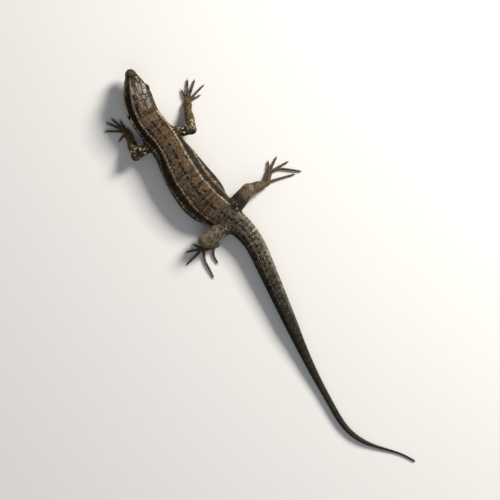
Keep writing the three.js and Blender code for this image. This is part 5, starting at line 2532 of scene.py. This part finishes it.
@dataclass
class Claws:
    """Curved, pointed claws on all twenty digits."""

    limbs: tuple[Limb, ...]
    RINGS = 10
    SIDES = 8
    ROOT = 0.25
    RADIUS = 0.165
    TIP_RADIUS = 0.022
    ARCH = 0.3
    TIP_HEIGHT = 0.07
    NARROW = 0.75

    def build(self) -> MeshParts:
        """Makes every claw."""
        return MeshParts.joined([self.claw(toe) for limb in self.limbs for toe in limb.toes])

    def claw(self, toe: Stem) -> MeshParts:
        """Makes the claw of one digit.

        Args:
            toe: the digit's stem, with its tip.

        Returns:
            The claw's mesh parts.
        """
        aim = toe.tip - toe.line[-1]
        aim[2] = 0
        root = toe.line[-1] - unit(aim) * self.ROOT
        tip = toe.line[-1] + aim
        tip[2] = self.TIP_HEIGHT
        knee = (root + tip) / 2 + aim * 0.15
        knee[2] = root[2] + self.ARCH
        t = np.linspace(0, 1, self.RINGS)
        s = t[:, None]
        line = root * (1 - s) ** 2 + knee * 2 * s * (1 - s) + tip * s * s
        radius = self.TIP_RADIUS + (self.RADIUS - self.TIP_RADIUS) * (1 - t) ** 0.8
        across = np.cross(UP, unit(aim))
        along = unit(np.gradient(line, axis=0))
        over = np.cross(along, across)[:, None]
        angle = 2 * np.pi * np.arange(self.SIDES)[:, None] / self.SIDES
        ring = across * (self.NARROW * np.cos(angle)) + over * np.sin(angle)
        points = (line[:, None] + ring * radius[:, None, None]).reshape(-1, 3)
        points = np.vstack([points, line[-1] + along[-1] * self.TIP_RADIUS, line[0]])
        shares = np.append(np.repeat(t, self.SIDES), [1, 0])
        colours = mix(np.tile(Tone.CLAW.linear, (len(points), 1)), Tone.CLAW_TIP, shares)
        return MeshParts(points, *closed_faces(self.RINGS, self.SIDES), colours, points[:, :2] * 0)


# ---------------- skin


@dataclass
class Skin:
    """The one skin that stands for every solid of flesh."""

    form: BodyForm
    field_: SkinField
    markings: Markings
    # The skin shows in the gaps between scales and shields. It is darkened for its own darker tone and for
    # painted shade in those gaps, less on the head.
    SHADE = 0.36
    HEAD_SHADE = 0.2
    JOIN = 0.5

    def build(self) -> MeshParts:
        """Makes the skin's mesh with its colours.

        Returns:
            The skin's mesh.
        """
        points, quads = self.field_.surface()
        colours = self.markings.body(points)
        for limb in self.field_.limbs:
            self.paint_limb(limb, points, colours)
        d, _, _, _ = self.form.read(points)
        # Painted shade in the gaps between scales, on the skin's own darker tone; weaker on the head.
        shade = self.SHADE + self.HEAD_SHADE * (1 - smooth_share(d, 14, 16))
        colours = colours * shade[:, None]
        return MeshParts(points, quads, np.empty((0, 3), int), colours, points[:, :2] * 0)

    def paint_limb(self, limb: Limb, points: Array, colours: Array) -> None:
        """Writes one limb's colours over the body's.

        Args:
            limb: the limb.
            points: all places of the skin.
            colours: the colours, changed here.
        """
        low, high = limb.box(0.6)
        index = np.flatnonzero(((points > low) & (points < high)).all(1))
        near = points[index]
        stems = [*limb.stems, *limb.toes]
        values = np.stack([stem.value(near) for stem in stems])
        nearest = values.argmin(0)
        share = smooth_share(self.form.value_at(near) - values.min(0), -self.JOIN, self.JOIN)
        facing = self.field_.slope(near)[:, 2]
        for k, stem in enumerate(stems):
            mine = nearest == k
            along = ((near[mine] - stem.line[0]) @ unit(stem.line[-1] - stem.line[0])) / stem.length
            tone = self.markings.limb(limb, min(k, 3), along, facing[mine], near[mine])
            colours[index[mine]] += (tone - colours[index[mine]]) * share[mine, None]


# ---------------- floor, lights, camera


@dataclass
class Studio:
    """A pale floor, soft lights, and a camera that looks straight down."""

    FLOOR_HALF = 1.5
    FLOOR_TONE = (0.78, 0.77, 0.75)
    AIM = (0.00818, 0.00436, 0.004)
    HEIGHT = 0.55
    SENSOR = 36.0
    FRAME_WIDTH = 0.155
    TURN = -126.2
    WORLD = (0.9, 0.93, 1.0)
    WORLD_STRENGTH = 0.22
    # Each light's name, place and size in metres, power in watts, and colour.
    LIGHTS = (
        ("key", (0.07, -0.47, 0.3), 0.17, 5.4, (1.0, 0.96, 0.9)),
        ("fill", (-0.4, 0.2, 0.5), 0.6, 0.7, (0.93, 0.96, 1.0)),
    )

    def build(self) -> None:
        """Makes the floor, the lights and the camera."""
        self.floor()
        for light in self.LIGHTS:
            self.light(*light)
        self.camera()

    def floor(self) -> None:
        """Makes the floor and the soft light of the room."""
        h = self.FLOOR_HALF
        mesh = bpy.data.meshes.new("floor")
        mesh.from_pydata([(-h, -h, 0), (h, -h, 0), (h, h, 0), (-h, h, 0)], [], [(0, 1, 2, 3)])
        material = bpy.data.materials.new("floor_paint")
        material.use_nodes = True
        shader = material.node_tree.nodes["Principled BSDF"]
        shader.inputs["Base Color"].default_value = (*self.FLOOR_TONE, 1)
        shader.inputs["Roughness"].default_value = 0.8
        mesh.materials.append(material)
        linked("floor", mesh)
        world = bpy.data.worlds.new("room")
        world.use_nodes = True
        sky = world.node_tree.nodes["Background"]
        sky.inputs["Color"].default_value = (*self.WORLD, 1)
        sky.inputs["Strength"].default_value = self.WORLD_STRENGTH
        bpy.context.scene.world = world
        bpy.context.scene.view_settings.view_transform = "Standard"

    def light(self, name: str, place: tuple, size: float, power: float, tone: tuple) -> None:
        """Adds a soft square light that faces the animal.

        Args:
            name: the light's name.
            place: where it hangs, in metres.
            size: its width.
            power: its power in watts.
            tone: its colour.
        """
        data = bpy.data.lights.new(name, "AREA")
        data.size = size
        data.energy = power
        data.color = tone
        lamp = linked(name, data)
        lamp.location = place
        lamp.rotation_euler = (Vector(self.AIM) - Vector(place)).to_track_quat("-Z", "Y").to_euler()

    def camera(self) -> None:
        """Sets the camera over the animal, looking down."""
        data = bpy.data.cameras.new("camera")
        data.sensor_width = self.SENSOR
        data.lens = self.SENSOR * self.HEIGHT / self.FRAME_WIDTH
        camera = linked("camera", data)
        camera.location = Vector(self.AIM) + Vector((0, 0, self.HEIGHT))
        camera.rotation_euler = (0, 0, math.radians(self.TURN))
        bpy.context.scene.camera = camera


# ---------------- putting it together


SKIN_FINISH = Finish("skin_finish", roughness=0.6, specular=0.15, bump=0.3)
SCALE_FINISH = Finish("scale_finish", roughness=0.42, specular=0.16)
HEAD_FINISH = Finish("head_shield_finish", roughness=0.33, specular=0.22)
TAIL_FINISH = Finish("tail_scale_finish", roughness=0.44, specular=0.16)
EYE_FINISH = Finish(
    "eye_finish", roughness=0.14, roughness_spread=0.02, specular=0.35, coat=0.35,
    coat_roughness=0.03, grain=0.08, bump=0.0,
)
CLAW_FINISH = Finish("claw_finish", roughness=0.25, specular=0.55, coat=0.4, grain=0.12, bump=0.05)

FLESH_NODES = (
    "head", "lower_jaw", "neck", "trunk", "hips", "tail_root", "tail_fore", "tail_middle",
    "tail_end", "tail_tip",
)
RANDOM_SEED = 7


def place_limbs_and_body() -> tuple[BodyForm, HeadForm]:
    """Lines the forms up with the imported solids, by the middle of the left eye.

    Returns:
        The body's form and the head's.
    """
    form = BodyForm()
    head = HeadForm(form)
    low, high = (np.array(corner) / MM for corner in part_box("eye_left"))
    form.shift[:2] = ((low + high) / 2 - head.eye_centre(1))[:2]
    for limb in LIMBS:
        limb.make(form.shift)
    return form, head


def main() -> None:
    """Builds every piece of the lizard and the studio round it."""
    logging.basicConfig(level=logging.INFO, format="%(message)s")
    random = np.random.default_rng(RANDOM_SEED)
    Studio().build()
    form, head = place_limbs_and_body()
    field_ = SkinField(form, head, LIMBS)
    markings = Markings(form, head)
    scale_material = SCALE_FINISH.material()
    tail_material = TAIL_FINISH.material()
    eye_material = EYE_FINISH.material()

    skin = Skin(form, field_, markings).build().object("skin", False)
    dress(skin, SKIN_FINISH.material())
    limb_nodes = [f"{name}_{limb.side}" for limb in LIMBS for name in limb.names]
    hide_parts(*FLESH_NODES, *limb_nodes)

    body = (form, field_, markings, ScaleMaker(field_))
    for name, span in TrunkScales.LENGTHS.items():
        dress(TrunkScales(*body).build(random, *span).object(name), scale_material)
    dress(BellyPlates(*body).build(random).object("belly_plates"), scale_material)
    for name, span in TailScales.LENGTHS.items():
        dress(TailScales(*body).build(random, *span).object(name), tail_material)
    for number, limb in enumerate(LIMBS):
        coat = LimbScales(*body).build(number, random)
        name = f"{limb.build.name.lower()}_scales_{limb.side}"
        dress(coat.object(name), scale_material)

    shields = HeadShields(head, field_, markings).build()
    dress(shields.object("head_shields"), HEAD_FINISH.material())
    faces = [tuple(face) for face in (*shields.quads, *shields.tris)]
    tree = BVHTree.FromPolygons([Vector(point) for point in shields.points], faces)
    granules = HeadGranules(*body, head, tree).build(random)
    dress(granules.object("head_granules"), scale_material)

    eyes = Eyes(head)
    for side, name in ((1, "left"), (-1, "right")):
        ball = eyes.ball(side).object(f"eyeball_{name}", False)
        dress(ball, eye_material)
        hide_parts(f"eye_{name}")
    rims = MeshParts.joined([eyes.rim(side) for side in (1, -1)])
    dress(rims.object("eyelid_rims", False), scale_material)
    dress(Claws(LIMBS).build().object("claws", False), CLAW_FINISH.material())


if __name__ == "__main__":
    main()
